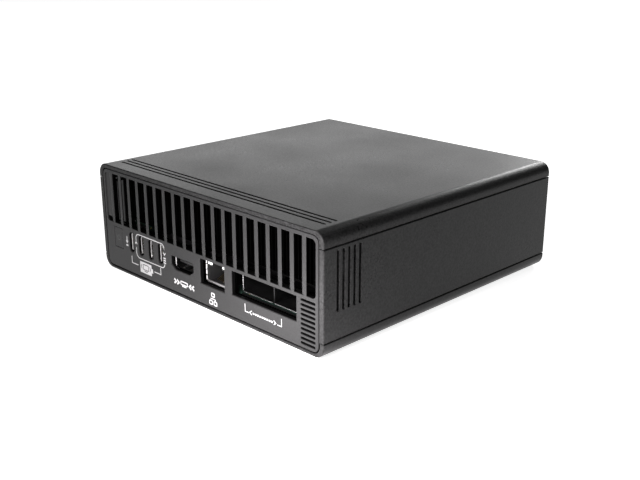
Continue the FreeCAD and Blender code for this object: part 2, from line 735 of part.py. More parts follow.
# ---------------------------------------------------------------------------------------------
# Inset end panels and the port shield
# ---------------------------------------------------------------------------------------------
def port_windows(sketch, clearance, key_clearance):
    """The cut-outs for the power key and every port, let out by a clearance."""
    key_u = D.key_width / 2 + D.key_gap + key_clearance
    key_v = D.key_height / 2 + D.key_gap + key_clearance
    rectangle(sketch, D.key_centre - key_u, D.key_centre + key_u, D.key_level - key_v, D.key_level + key_v)
    for index in range(int(D.usb_count.value)):
        centre = D.usb_first - index * D.usb_pitch
        grow = 2 * (D.usb_clear + clearance)
        stadium(sketch, centre, D.usb_level, D.usb_width + grow, D.usb_height + grow)
    hdmi = D.hdmi_centre
    polygon(sketch, [
        (hdmi - D.hdmi_half_base - clearance, D.hdmi_base - clearance),
        (hdmi + D.hdmi_half_base + clearance, D.hdmi_base - clearance),
        (hdmi + D.hdmi_half + clearance, D.hdmi_shoulder - clearance),
        (hdmi + D.hdmi_half + clearance, D.hdmi_top + clearance),
        (hdmi - D.hdmi_half - clearance, D.hdmi_top + clearance),
        (hdmi - D.hdmi_half - clearance, D.hdmi_shoulder - clearance)])
    rectangle(sketch, D.lan_left - clearance, D.lan_right + clearance,
              D.lan_base - clearance, D.lan_top + clearance)
    bay = D.bay_cut_width / 2 + clearance
    rectangle(sketch, D.bay_cut_centre - bay, D.bay_cut_centre + bay,
              D.bay_cut_base - clearance, D.bay_cut_top + clearance)


def corner_edges(half, levels):
    """A test for edges along Y at plus and minus one X and at one of two levels."""
    def test(edge):
        point = middle_of(edge)
        level = any(abs(point.z - height.value) < 1e-4 for height in levels)
        return level and abs(abs(point.x) - half.value) < 1e-4 and runs_along(edge, 1)
    return test


def louvred_panel(label, side, grille_base):
    """An inset panel with one wide opening crossed by slanted upright bars."""
    panel = Design(label)
    half = D.panel_width / 2
    outline = panel.sketch("XZ_Plane", -side * panel_face)
    rectangle(outline, -half, half, D.panel_base, D.panel_top)
    panel.pad(outline, D.panel_thickness, backwards=side < 0)
    panel.dress("Fillet", D.panel_radius, corner_edges(half, (D.panel_base, D.panel_top)))

    opening = panel.sketch("XZ_Plane", -side * panel_face)
    half_grille = D.grille_width / 2
    rectangle(opening, -half_grille, half_grille, grille_base, D.grille_top)
    panel.pocket(opening, D.panel_thickness, backwards=side > 0)
    panel.dress("Fillet", D.grille_radius, corner_edges(half_grille, (grille_base, D.grille_top)))

    def outer_rim(edge):
        point = middle_of(edge)
        reach = max(abs(point.x) - half.value + D.panel_radius.value,
                    D.panel_base.value + D.panel_radius.value - point.z,
                    point.z - D.panel_top.value + D.panel_radius.value)
        inside_grille = abs(point.x) < half_grille.value + 1e-3 and grille_base.value < point.z + 1e-3 \
            and point.z - 1e-3 < D.grille_top.value
        return reach > 0 and not inside_grille and lies_at(edge, 1, side * panel_face.value)
    panel.dress("Chamfer", D.panel_bevel, outer_rim)

    bar = panel.sketch("XY_Plane", grille_base - D.bar_root)
    start = side * D.bar_offset - D.bar_pitch * (D.bar_count - 1) / 2 - D.bar_width / 2
    face = side * panel_face
    polygon(bar, [
        (start, face), (start + D.bar_flat, face),
        (start + D.bar_width, face - side * D.bar_drop),
        (start + D.bar_width, face - side * D.bar_depth)])
    first = panel.pad(bar, D.grille_top - grille_base + 2 * D.bar_root)
    panel.row(first, "X_Axis", D.bar_pitch, D.bar_count)
    return panel


def make_rear_panel():
    """The rear panel: louvres above, ports below, small slots in the corner."""
    panel = louvred_panel("rear_panel", 1, D.grille_base)
    blank = panel.sketch("XZ_Plane", -(panel_face - D.blank_setback))
    last_bar = D.bar_offset + D.bar_pitch * (D.bar_count - 1) / 2
    rectangle(blank, last_bar, D.grille_width / 2 + D.bar_root / 2, D.blank_base, D.grille_top + D.bar_root)
    panel.pad(blank, D.blank_sheet)
    ports = panel.sketch("XZ_Plane", -panel_face)
    port_windows(ports, 0, 0)
    panel.pocket(ports, D.panel_thickness, backwards=True)
    slot = panel.sketch("XZ_Plane", -panel_face)
    stadium(slot, D.vent_centre, D.vent_first, D.vent_width, D.vent_height)
    first = panel.pocket(slot, D.panel_thickness, backwards=True)
    panel.row(first, "Z_Axis", D.vent_pitch, D.vent_count, backwards=True)

    def port_rim(edge):
        point = middle_of(edge)
        below = point.z < D.grille_base.value - D.bar_root.value
        inside = point.z > D.panel_base.value + D.panel_radius.value / 2
        beside = abs(point.x) < half_width.value - 2 * D.panel_radius.value
        is_key = abs(point.x - D.key_centre.value) < D.key_width.value
        is_vent = point.x < D.bay_centre.value - D.bay_cut_width.value / 2 - 1
        in_ports = below and inside and beside and not is_key and not is_vent
        return in_ports and lies_at(edge, 1, panel_face.value)
    panel.dress("Chamfer", D.port_bevel, port_rim)
    panel.finish()


def make_io_shield():
    """The sheet behind the rear panel, with windows for the air and the ports."""
    shield = Design("io_shield")
    half = D.shield_width / 2
    plate = shield.sketch("XZ_Plane", -D.shield_front)
    rectangle(plate, -half, half, D.shield_base, D.shield_top)
    shield.pad(plate, D.shield_thickness)
    shield.dress("Fillet", D.panel_radius, corner_edges(half, (D.shield_base, D.shield_top)))
    windows = shield.sketch("XZ_Plane", -D.shield_front)
    grow = D.shield_clear
    rectangle(windows, -D.grille_width / 2 - grow, D.grille_width / 2 + grow, D.grille_base, D.grille_top)
    vent_drop = D.vent_pitch * (D.vent_count - 1)
    rectangle(windows, D.vent_centre - D.vent_width / 2, D.vent_centre + D.vent_width / 2,
              D.vent_first - vent_drop - D.vent_height, D.vent_first + D.vent_height / 2)
    shield.pocket(windows, D.shield_thickness, backwards=True)
    ports = shield.sketch("XZ_Plane", -D.shield_front)
    port_windows(ports, D.shield_clear, D.shield_clear + D.key_flange)
    shield.pocket(ports, D.shield_thickness, backwards=True)
    shield.finish()


def make_chassis_tray():
    """A sheet channel that carries the board, open under the intakes and beside the side slots."""
    tray = Design("chassis_tray")
    half = D.tray_width / 2
    inner = half - D.tray_sheet
    profile = tray.sketch("XZ_Plane")
    polygon(profile, [
        (-half, D.tray_base), (half, D.tray_base), (half, D.tray_top), (inner, D.tray_top),
        (inner, tray_floor), (-inner, tray_floor), (-inner, D.tray_top), (-half, D.tray_top)])
    tray.pad(profile, D.tray_length, symmetric=True)
    tray.dress("Fillet", D.tray_bend, long_edges(half, D.tray_base))
    windows = tray.sketch("XY_Plane", D.tray_base)
    reach = D.base_vent_pitch * D.base_vent_count / 2
    for side in (1, -1):
        middle = side * D.base_vent_row
        rectangle(windows, -reach, reach, middle - D.base_vent_length / 2, middle + D.base_vent_length / 2)
    tray.pocket(windows, D.tray_sheet, backwards=True)
    sides = tray.sketch("YZ_Plane")
    last_slot = D.side_slot_first - D.side_slot_pitch * (D.side_slot_count - 1)
    rectangle(sides, last_slot - D.side_slot_pitch, D.side_slot_first + D.side_slot_pitch / 2,
              D.side_slot_base - D.tray_bend, D.side_slot_base + D.side_slot_height - D.tray_bend)
    tray.pocket(sides, D.body_width, symmetric=True)
    holes = tray.sketch("XY_Plane", D.tray_base)
    for x, y in CORNERS:
        circle(holes, x * D.base_screw_x, y * D.base_screw_y, D.screw_radius)
    tray.pocket(holes, D.tray_sheet, backwards=True)
    tray.finish()


# ---------------------------------------------------------------------------------------------
# Feet and fasteners
# ---------------------------------------------------------------------------------------------
def make_feet():
    """Four round rubber feet, each a turned pad in its recess."""
    corners = {"foot_rear_left": (1, 1), "foot_rear_right": (-1, 1),
               "foot_front_left": (1, -1), "foot_front_right": (-1, -1)}
    for label, (x, y) in corners.items():
        foot = Design(label)
        disc = foot.sketch("XY_Plane")
        circle(disc, x * D.foot_inset_x, y * D.foot_inset_y, D.foot_radius)
        foot.pad(disc, D.foot_height)
        foot.dress("Fillet", D.foot_round, lambda edge: lies_at(edge, 2, 0))
        foot.finish()


def screw(name, position, length, upwards=True):
    """A socket-head screw whose head seats at a position and whose thread runs up or down."""
    x, y, seat = position
    thread_low = seat if upwards else seat - length
    head_low = seat - D.head_height if upwards else seat
    socket_low = head_low if upwards else seat + D.head_height - D.socket_depth
    thread = cylinder(name + "_thread", D.screw_radius, length, (x, y, thread_low))
    head = cylinder(name + "_head", D.head_radius, D.head_height, (x, y, head_low))
    socket = cylinder(name + "_socket", D.socket_radius, D.socket_depth, (x, y, socket_low))
    return cut(name, fused(name + "_blank", [thread, head]), [socket])


def make_bottom_screws():
    """Four screws that hold the base to the chassis tray."""
    seat = D.foot_drop + D.head_height + D.tongue_fit
    screws = []
    for index, (x, y) in enumerate(CORNERS):
        position = (x * D.base_screw_x, y * D.base_screw_y, seat)
        screws.append(screw(f"base_screw_{index}", position, tray_floor - seat + D.head_height))
    keep(grouped("bottom_screws", screws), "bottom_screws")


# ---------------------------------------------------------------------------------------------
# Main board and what is on it
# ---------------------------------------------------------------------------------------------
BOARD_POSTS = [(-64, -46), (0, -48.5), (64, -46), (-65, 62), (24, 50), (65, 30)]   # in plan
STORAGE_PARTS = [(14, 9, 7), (18, 10, 18)]      # width, length and distance from the card's free end
RADIO_PARTS = [(16, 14, 8)]
card_base = board_top + D.card_post


def standoff(name, foot, height):
    """A threaded stand-off, as a tube on its foot."""
    post = cylinder(name + "_tube", D.post_radius, height, foot)
    bore = cylinder(name + "_bore", D.screw_radius, height, foot)
    return cut(name, post, [bore])


def make_board():
    """The main board on its stand-offs, with its screws."""
    plate = box("board_plate", (-D.board_width / 2, D.board_front, D.board_base),
                (D.board_width / 2, D.board_rear, board_top))
    holes = [cylinder(f"board_hole_{index}", D.screw_radius, D.board_sheet, (x, y, D.board_base))
             for index, (x, y) in enumerate(BOARD_POSTS)]
    keep(cut("main_board", plate, holes), "main_board")
    board_bite = D.board_sheet + D.card_post
    card_bite = D.card_sheet + D.card_post / 2
    posts = []
    screws = []
    for index, (x, y) in enumerate(BOARD_POSTS):
        posts.append(standoff(f"board_post_{index}", (x, y, tray_floor), D.board_base - tray_floor))
        screws.append(screw(f"board_screw_{index}", (x, y, board_top), board_bite, upwards=False))
    cards = ((D.storage_x, D.storage_front), (D.radio_x, D.radio_front))
    for index, (x, front) in enumerate(cards):
        y = front + D.card_setback
        posts.append(standoff(f"card_post_{index}", (x, y, board_top), D.card_post))
        seat = (x, y, card_base + D.card_sheet)
        screws.append(screw(f"card_screw_{index}", seat, card_bite, upwards=False))
    keep(grouped("board_standoffs", posts), "board_standoffs")
    keep(grouped("board_screws", screws), "board_screws")


def make_packages():
    """Processor, memory, network controller, chokes and clock battery."""
    middle = (D.processor_x, D.processor_y)
    laminate = centred_box("processor_package", middle, D.chip_package, D.chip_package,
                           board_top, D.package_sheet)
    keep(laminate, "processor_package")
    lid = centred_box("processor_lid", middle, D.lid_width, D.lid_width, package_top, D.lid_sheet)
    keep(lid, "processor_lid")

    chips = []
    in_row = int(D.memory_count.value)
    for side in (-1, 1):
        for step in range(in_row):
            x = D.processor_x + (step - (in_row - 1) / 2) * D.memory_pitch
            spot = (x, D.processor_y + side * D.memory_offset)
            name = f"memory_{len(chips)}"
            chips.append(centred_box(name, spot, D.memory_width, D.memory_length,
                                     board_top, D.memory_sheet))
    keep(grouped("memory_chips", chips), "memory_chips")

    spot = (D.network_x, D.network_y)
    controller = centred_box("network_chip", spot, D.network_width, D.network_width,
                             board_top, D.network_sheet)
    keep(controller, "network_chip")

    chokes = []
    for column in range(2):
        for step in range(int(D.choke_count.value)):
            spot = (D.choke_x + column * D.choke_columns, D.choke_y + step * D.choke_pitch)
            name = f"choke_{len(chokes)}"
            chokes.append(centred_box(name, spot, D.choke_width, D.choke_width,
                                      board_top, D.choke_height))
    keep(grouped("power_chokes", chokes), "power_chokes")
    cell = cylinder("rtc_battery", D.battery_radius, D.battery_height, (D.battery_x, D.battery_y, board_top))
    keep(cell, "rtc_battery")


def card(label, x, front, length, parts):
    """A plug-in card: a thin board with packages on it and a hole for its screw."""
    half = D.card_width / 2
    rear = front + length
    plate = box(label + "_plate", (x - half, front, card_base), (x + half, rear, card_base + D.card_sheet))
    hole = cylinder(label + "_hole", D.screw_radius, D.card_sheet, (x, front + D.card_setback, card_base))
    board = cut(label + "_board", plate, [hole])
    base = card_base + D.card_sheet
    blocks = []
    for index, (across, along, start) in enumerate(parts):
        low = (x - across / 2, front + start, base)
        high = (x + across / 2, front + start + along, base + D.card_part)
        blocks.append(box(f"{label}_part_{index}", low, high))
    keep(fused(label, [board] + blocks), label)


def card_connector(name, x, edge):
    """A connector that holds a card's end: a block with a slot for it."""
    half = D.card_width / 2
    grip = D.connector_length / 2
    low = (x - half, edge - grip, board_top)
    high = (x + half, edge + grip, board_top + D.connector_height)
    slot_high = (x + half, edge, card_base + D.card_sheet)
    slot = box(name + "_slot", (x - half, edge - grip, card_base), slot_high)
    return cut(name, box(name + "_block", low, high), [slot])


def make_cards():
    """The storage card, the radio card and their connectors."""
    card("ssd_module", D.storage_x, D.storage_front, D.storage_length, STORAGE_PARTS)
    card("wifi_module", D.radio_x, D.radio_front, D.radio_length, RADIO_PARTS)
    connectors = [card_connector("storage_connector", D.storage_x, D.storage_front + D.storage_length),
                  card_connector("radio_connector", D.radio_x, D.radio_front + D.radio_length)]
    keep(grouped("card_connectors", connectors), "card_connectors")


def tangent_route(points):
    """A wire of straight runs joined by tangent arcs, each as large as its two runs allow."""
    share = 0.45
    corners = [Vector(*point) for point in points]
    edges = []
    start = corners[0]
    for before, corner, after in zip(corners, corners[1:], corners[2:]):
        back, ahead = (before - corner), (after - corner)
        trim = share * min(back.Length, ahead.Length)
        back.normalize()
        ahead.normalize()
        enter, leave = corner + back * trim, corner + ahead * trim
        turn = math.pi - back.getAngle(ahead)
        radius = trim / math.tan(turn / 2)
        towards = (back + ahead)
        towards.normalize()
        centre = corner + towards * (radius / math.cos(turn / 2))
        bow = corner - centre
        bow.normalize()
        edges.append(Part.LineSegment(start, enter).toShape())
        edges.append(Part.Arc(enter, centre + bow * radius, leave).toShape())
        start = leave
    edges.append(Part.LineSegment(start, corners[-1]).toShape())
    return Part.Wire(edges)


def swept(route, profile):
    """A solid swept from a profile wire along a route."""
    return route.makePipeShell([profile], True, False)


def make_antennas():
    """Two strip antennas behind the front panel, and their leads from the radio card."""
    inner = -panel_back
    strips = {"antenna_left": 1, "antenna_right": -1}
    for label, side in strips.items():
        middle_x = side * D.antenna_x
        low = (middle_x - D.antenna_width / 2, inner, D.antenna_base)
        high = (middle_x + D.antenna_width / 2, inner + D.antenna_sheet, D.antenna_base + D.antenna_height)
        keep(box(label, low, high), label)
    radius = D.lead_radius.value
    level = (card_base + D.card_sheet).value + radius
    face = (inner + D.antenna_sheet).value + radius
    middle = (D.antenna_base + D.antenna_height / 2).value
    near_end = D.antenna_x.value - D.antenna_width.value / 2
    beside = D.radio_x.value
    socket, edge = D.radio_front.value + 8, D.board_front.value - 2
    routes = {
        "antenna_lead_left": [
            (beside + 9.4, socket, level), (beside + 9.4, edge, level), (-35, edge - 7, level - 4),
            (-20, edge - 11, middle + 4), (2, edge - 13, middle + 1), (24, edge - 15, middle),
            (near_end + 4, face, middle), (near_end + 16, face, middle)],
        "antenna_lead_right": [
            (beside - 9.4, socket, level), (beside - 9.4, edge, level), (-56.5, edge - 7, level - 4),
            (-52, edge - 11, middle + 4), (-44, face + 1, middle + 1), (-near_end - 2, face, middle)]}
    for label, points in routes.items():
        route = tangent_route(points)
        start = route.Edges[0].valueAt(route.Edges[0].FirstParameter)
        heading = route.Edges[0].tangentAt(route.Edges[0].FirstParameter)
        ring = Part.Wire([Part.makeCircle(radius, start, heading)])
        lead = doc.addObject("Part::Feature", label)
        lead.Shape = swept(route, ring)
        keep(lead, label)
        length = sum(edge.Length for edge in route.Edges)
        ratio = lead.Shape.Volume / (math.pi * radius ** 2 * length)
        print(f"{label}: length {length:.1f}, volume ratio {ratio:.3f}")


# ---------------------------------------------------------------------------------------------
# Cooler
# ---------------------------------------------------------------------------------------------
def make_cold_plate():
    """The copper plate with its pedestal on the processor, and four screws that press it down."""
    middle = (D.processor_x, D.processor_y)
    plate_base = D.cold_top - D.cold_sheet
    plate = centred_box("cold_slab", middle, D.cold_width, D.cold_width, plate_base, D.cold_sheet)
    block = centred_box("cold_pedestal", middle, D.lid_width, D.lid_width, lid_top, plate_base - lid_top)
    holes = []
    screws = []
    for index, (x, y) in enumerate(CORNERS):
        spot = (D.processor_x + x * D.cooler_screw_x, D.processor_y + y * D.cooler_screw_y)
        holes.append(cylinder(f"cold_hole_{index}", D.screw_radius, D.cold_sheet, (*spot, plate_base)))
        bite = D.cold_top - board_top
        screws.append(screw(f"cooler_screw_{index}", (*spot, D.cold_top), bite, upwards=False))
    keep(cut("cold_plate", fused("cold_blank", [plate, block]), holes), "cold_plate")
    keep(grouped("cooler_screws", screws), "cooler_screws")


def make_heat_pipes():
    """Three flattened heat pipes from the cold plate to the fins; the outer two swing outwards."""
    spreads = {"heat_pipe_left": 1, "heat_pipe_centre": 0, "heat_pipe_right": -1}
    level = (D.cold_top + D.pipe_height / 2).value
    half_w, half_h = D.pipe_width.value / 2, D.pipe_height.value / 2
    front, rear = D.pipe_front.value, D.pipe_rear.value
    for label, side in spreads.items():
        x_front = D.processor_x.value + side * D.pipe_spacing.value
        x_rear = side * D.pipe_spread.value
        points = [(x_front, front, level), (x_front, rear, level)]
        if side:
            bend_in, bend_out = front + D.pipe_straight.value, rear - D.pipe_end.value
            points = [points[0], (x_front, bend_in, level), (x_rear, bend_out, level), (x_rear, rear, level)]
        route = tangent_route(points)
        left = Vector(x_front - half_w + half_h, front, level)
        right = Vector(x_front + half_w - half_h, front, level)
        up = Vector(0, 0, half_h)
        section = Part.Wire([
            Part.LineSegment(left + up, right + up).toShape(),
            Part.Arc(right + up, right + Vector(half_h, 0, 0), right - up).toShape(),
            Part.LineSegment(right - up, left - up).toShape(),
            Part.Arc(left - up, left - Vector(half_h, 0, 0), left + up).toShape()])
        pipe = doc.addObject("Part::Feature", label)
        pipe.Shape = swept(route, section)
        keep(pipe, label)


def make_fin_stack():
    """Thin upright fins between two plates, open to the rear louvres."""
    stack = Design("fin_stack")
    half = D.fin_width / 2
    base = stack.sketch("XY_Plane", pipe_top)
    rectangle(base, -half, half, D.fin_front, D.fin_rear)
    stack.pad(base, D.fin_plate)
    fin = stack.sketch("XY_Plane", pipe_top)
    first = -D.fin_pitch * (D.fin_count - 1) / 2 - D.fin_sheet / 2
    rectangle(fin, first, first + D.fin_sheet, D.fin_front, D.fin_rear)
    one = stack.pad(fin, D.fin_top - pipe_top)
    stack.row(one, "X_Axis", D.fin_pitch, D.fin_count)
    roof = stack.sketch("XY_Plane", D.fin_top - D.fin_plate)
    rectangle(roof, -half, half, D.fin_front, D.fin_rear)
    stack.pad(roof, D.fin_plate)
    stack.finish()


def make_blower(name, side):
    """One blower: housing with a leg, cover, motor stator and free-turning rotor."""
    x = side * D.fan_x
    left, right = x - D.fan_width / 2, x + D.fan_width / 2
    axis_floor = (x, D.fan_y, D.fan_base + D.fan_wall)
    shell = box(name + "_block", (left, D.fan_front, D.fan_base), (right, D.fin_front, D.fan_top))
    scroll = cylinder(name + "_scroll", D.scroll_radius, D.fan_top - D.fan_base - D.fan_wall, axis_floor)
    outlet = box(name + "_outlet", (x - D.scroll_radius, D.fan_y, D.fan_base + D.fan_wall),
                 (x + D.scroll_radius, D.fin_front, D.fan_top))
    leg_x = side * (D.fan_x + D.fan_width / 2 - D.leg_width)
    leg = centred_box(name + "_leg", (leg_x, D.fan_front + D.leg_length / 2), D.leg_width, D.leg_length,
                      board_top, D.fan_base - board_top)
    housing = cut(name + "_bowl", shell, [scroll, outlet])
    keep(fused(name + "_housing", [housing, leg]), name + "_housing")

    lid = box(name + "_lid", (left, D.fan_front, D.fan_top), (right, D.fin_front, D.fan_top + D.fan_wall))
    intake = cylinder(name + "_intake", D.intake_radius, D.fan_wall, (x, D.fan_y, D.fan_top))
    keep(cut(name + "_cover", lid, [intake]), name + "_cover")

    stator_base = D.fan_base + 2 * D.fan_wall
    ring = cylinder(name + "_ring", D.stator_radius, D.stator_height, (x, D.fan_y, stator_base))
    bore = cylinder(name + "_ring_bore", D.bush_radius, D.stator_height, (x, D.fan_y, stator_base))
    keep(cut(name + "_stator", ring, [bore]), name + "_stator")

    tube = cylinder(name + "_tube", D.bush_radius, D.bush_height, axis_floor)
    hole = cylinder(name + "_tube_bore", D.shaft_radius + D.shaft_fit, D.bush_height, axis_floor)
    make_rotor(name, x)
    return cut(name + "_bush", tube, [hole])


def make_rotor(name, x):
    """A cup with a shaft and a ring of leaning blades."""
    rotor = Design(name + "_rotor")
    cup = rotor.sketch("XY_Plane", D.cup_base)
    circle(cup, 0, 0, D.cup_radius)
    rotor.pad(cup, D.cup_top - D.cup_base)
    hollow = rotor.sketch("XY_Plane", D.cup_base)
    circle(hollow, 0, 0, D.cup_radius - D.cup_wall)
    rotor.pocket(hollow, D.cup_top - D.cup_base - D.cup_wall, backwards=True)
    shaft = rotor.sketch("XY_Plane", D.fan_base + 2 * D.fan_wall)
    circle(shaft, 0, 0, D.shaft_radius)
    rotor.pad(shaft, D.cup_top - D.fan_base - 2 * D.fan_wall)
    blade = rotor.sketch("XY_Plane", D.blade_base)
    root = D.cup_radius - D.cup_wall / 2
    bend = (root + D.blade_tip) / 2
    polygon(blade, [
        (root, 0), (bend, D.blade_lean / 3), (D.blade_tip, D.blade_lean),
        (D.blade_tip, D.blade_lean + D.blade_sheet), (bend, D.blade_lean / 3 + D.blade_sheet),
        (root, D.blade_sheet)])
    first = rotor.pad(blade, D.cup_top - D.blade_base)
    rotor.ring(first, "Z_Axis", D.blade_count)
    band = rotor.sketch("XY_Plane", D.blade_base)
    circle(band, 0, 0, D.blade_tip - D.blade_sheet)
    circle(band, 0, 0, D.blade_tip)
    rotor.pad(band, D.blade_sheet)
    place(rotor.body, (x, D.fan_y, 0))
    rotor.finish()


# ---------------------------------------------------------------------------------------------
# Power key
# ---------------------------------------------------------------------------------------------
def make_power_key():
    """The sliding cap, the switch it presses and the little board that carries the switch."""
    key = Design("power_button")
    half_u, half_v = D.key_width / 2, D.key_height / 2
    x, z = D.key_centre, D.key_level
    rear_of_flange = panel_back - D.key_gap - D.key_flange
    cap = key.sketch("XZ_Plane", -panel_face)
    rectangle(cap, x - half_u, x + half_u, z - half_v, z + half_v)
    key.pad(cap, panel_face - rear_of_flange)
    flange = key.sketch("XZ_Plane", -(panel_back - D.key_gap))
    reach_u, reach_v = half_u + D.key_flange, half_v + D.key_flange
    rectangle(flange, x - reach_u, x + reach_u, z - reach_v, z + reach_v)
    key.pad(flange, D.key_flange)
    stem = key.sketch("XZ_Plane", -rear_of_flange)
    circle(stem, x, z, D.stem_radius)
    key.pad(stem, rear_of_flange - D.plunger_tip)
    key.dress("Chamfer", D.key_gap, lambda edge: lies_at(edge, 1, panel_face.value))
    key.finish()

    half = D.switch_width / 2
    case = box("switch_case", (x - half, D.switch_back, z - half), (x + half, D.switch_front, z + half))
    guide_end = D.plunger_end - D.key_travel - D.key_gap
    guide = cylinder("switch_guide", D.plunger_radius + D.plunger_fit, D.switch_front - guide_end,
                     (x, guide_end, z), ALONG_Y)
    keep(cut("power_switch", case, [guide]), "power_switch")
    plunger = cylinder("switch_plunger", D.plunger_radius, D.plunger_tip - D.plunger_end,
                       (x, D.plunger_end, z), ALONG_Y)
    keep(plunger, "switch_plunger")
    low = (x - D.key_board_width / 2, D.switch_back - D.key_board_sheet, board_top)
    high = (x + D.key_board_width / 2, D.switch_back, board_top + D.key_board_height)
    keep(box("button_board", low, high), "button_board")


# ---------------------------------------------------------------------------------------------
# Ports
# ---------------------------------------------------------------------------------------------
def make_usb_ports():
    """Four upright USB-C shells, and the tongue inside each."""
    tongues = []
    for index in range(int(D.usb_count.value)):
        x = D.usb_first - index * D.usb_pitch
        back = D.usb_mouth - D.usb_depth
        port = Design(f"usb_c_shell_{index + 1}")
        outer = port.sketch("XZ_Plane", -D.usb_mouth)
        stadium(outer, x, D.usb_level, D.usb_width, D.usb_height)
        port.pad(outer, D.usb_depth)
        inner = port.sketch("XZ_Plane", -D.usb_mouth)
        stadium(inner, x, D.usb_level, D.usb_width - 2 * D.usb_wall, D.usb_height - 2 * D.usb_wall)
        port.pocket(inner, D.usb_depth - D.usb_wall, backwards=True)
        leg = port.sketch("XY_Plane", board_top)
        rectangle(leg, x - D.usb_width / 2, x + D.usb_width / 2, back, D.board_rear - D.usb_wall)
        port.pad(leg, D.usb_level - D.usb_height / 2 + D.usb_wall / 2 - board_top)
        port.finish()
        half, rise = D.tongue_blade / 2, D.tongue_blade_height / 2
        low = (x - half, back + D.usb_wall, D.usb_level - rise)
        high = (x + half, D.usb_mouth - 3 * D.usb_wall, D.usb_level + rise)
        tongues.append(box(f"usb_tongue_{index}", low, high))
    keep(grouped("usb_c_tongues", tongues), "usb_c_tongues")


def hdmi_outline(sketch, inset):
    """The HDMI port's six-sided outline, moved inwards by an inset."""
    x = D.hdmi_centre
    half, half_base = D.hdmi_half - inset, D.hdmi_half_base - inset * D.hdmi_slope_inset
    low, high = D.hdmi_base + inset, D.hdmi_top - inset
    shoulder = D.hdmi_shoulder + inset * D.hdmi_slope_inset
    polygon(sketch, [(x - half_base, low), (x + half_base, low), (x + half, shoulder),
                     (x + half, high), (x - half, high), (x - half, shoulder)])


def make_hdmi_port():
    """The HDMI shell on its legs, and its tongue."""
    port = Design("hdmi_shell")
    outer = port.sketch("XZ_Plane", -D.hdmi_mouth)
    hdmi_outline(outer, D.hdmi_clear)
    port.pad(outer, D.hdmi_depth)
    inner = port.sketch("XZ_Plane", -D.hdmi_mouth)
    hdmi_outline(inner, D.hdmi_clear + D.hdmi_wall)
    port.pocket(inner, D.hdmi_depth - D.hdmi_wall, backwards=True)
    leg = port.sketch("XY_Plane", board_top)
    half = D.hdmi_half_base - D.hdmi_clear
    back = D.hdmi_mouth - D.hdmi_depth
    rectangle(leg, D.hdmi_centre - half, D.hdmi_centre + half, back, D.board_rear - D.hdmi_wall)
    port.pad(leg, D.hdmi_base + D.hdmi_clear + D.hdmi_wall / 2 - board_top)
    port.finish()
    blade = D.hdmi_blade_width / 2
    low = (D.hdmi_centre - blade, back + D.hdmi_wall, D.hdmi_blade_level)
    high = (D.hdmi_centre + blade, D.hdmi_mouth - D.hdmi_blade_setback, D.hdmi_blade_level + D.hdmi_blade)
    keep(box("hdmi_tongue", low, high), "hdmi_tongue")


def make_lan_jack():
    """The network jack: sheet shell, moulded insert with the plug cavity, and two light pipes."""
    left, right = D.lan_centre - D.lan_width / 2, D.lan_centre + D.lan_width / 2
    back, high = D.lan_mouth - D.lan_depth, board_top + D.lan_height
    skin = D.lan_wall
    case = box("lan_case", (left, back, board_top), (right, D.lan_mouth, high))
    core = box("lan_core", (left + skin, back + skin, board_top + skin),
               (right - skin, D.lan_mouth, high - skin))
    keep(cut("lan_shell", case, [core]), "lan_shell")

    block = box("lan_block", (left + skin, back + skin, board_top + skin),
                (right - skin, D.lan_mouth - skin, high - skin))
    cavity = box("lan_cavity", (D.lan_centre - D.plug_width / 2, D.lan_mouth - D.plug_depth, D.plug_base),
                 (D.lan_centre + D.plug_width / 2, D.lan_mouth, D.plug_top))
    latch = box("lan_latch", (D.lan_centre - D.latch_width / 2, D.lan_mouth - D.plug_depth, D.plug_top),
                (D.lan_centre + D.latch_width / 2, D.lan_mouth, D.latch_top))
    light_base = D.latch_top - D.light_height
    lights = []
    pockets = []
    for side in (-1, 1):
        near = D.lan_centre + side * (D.latch_width / 2 + D.lan_wall)
        far = D.lan_centre + side * (D.plug_width / 2 + D.lan_wall)
        low_x, high_x = (near, far) if side > 0 else (far, near)
        low = (low_x, D.lan_mouth - skin - D.light_depth, light_base)
        top = (high_x, D.lan_mouth - skin, D.latch_top)
        lights.append(box(f"lan_light_{side}", low, top))
        pockets.append(box(f"lan_pocket_{side}", low, top))
    keep(cut("lan_insert", block, [fused("lan_mouth", [cavity, latch])] + pockets), "lan_insert")
    keep(grouped("lan_lights", lights), "lan_lights")


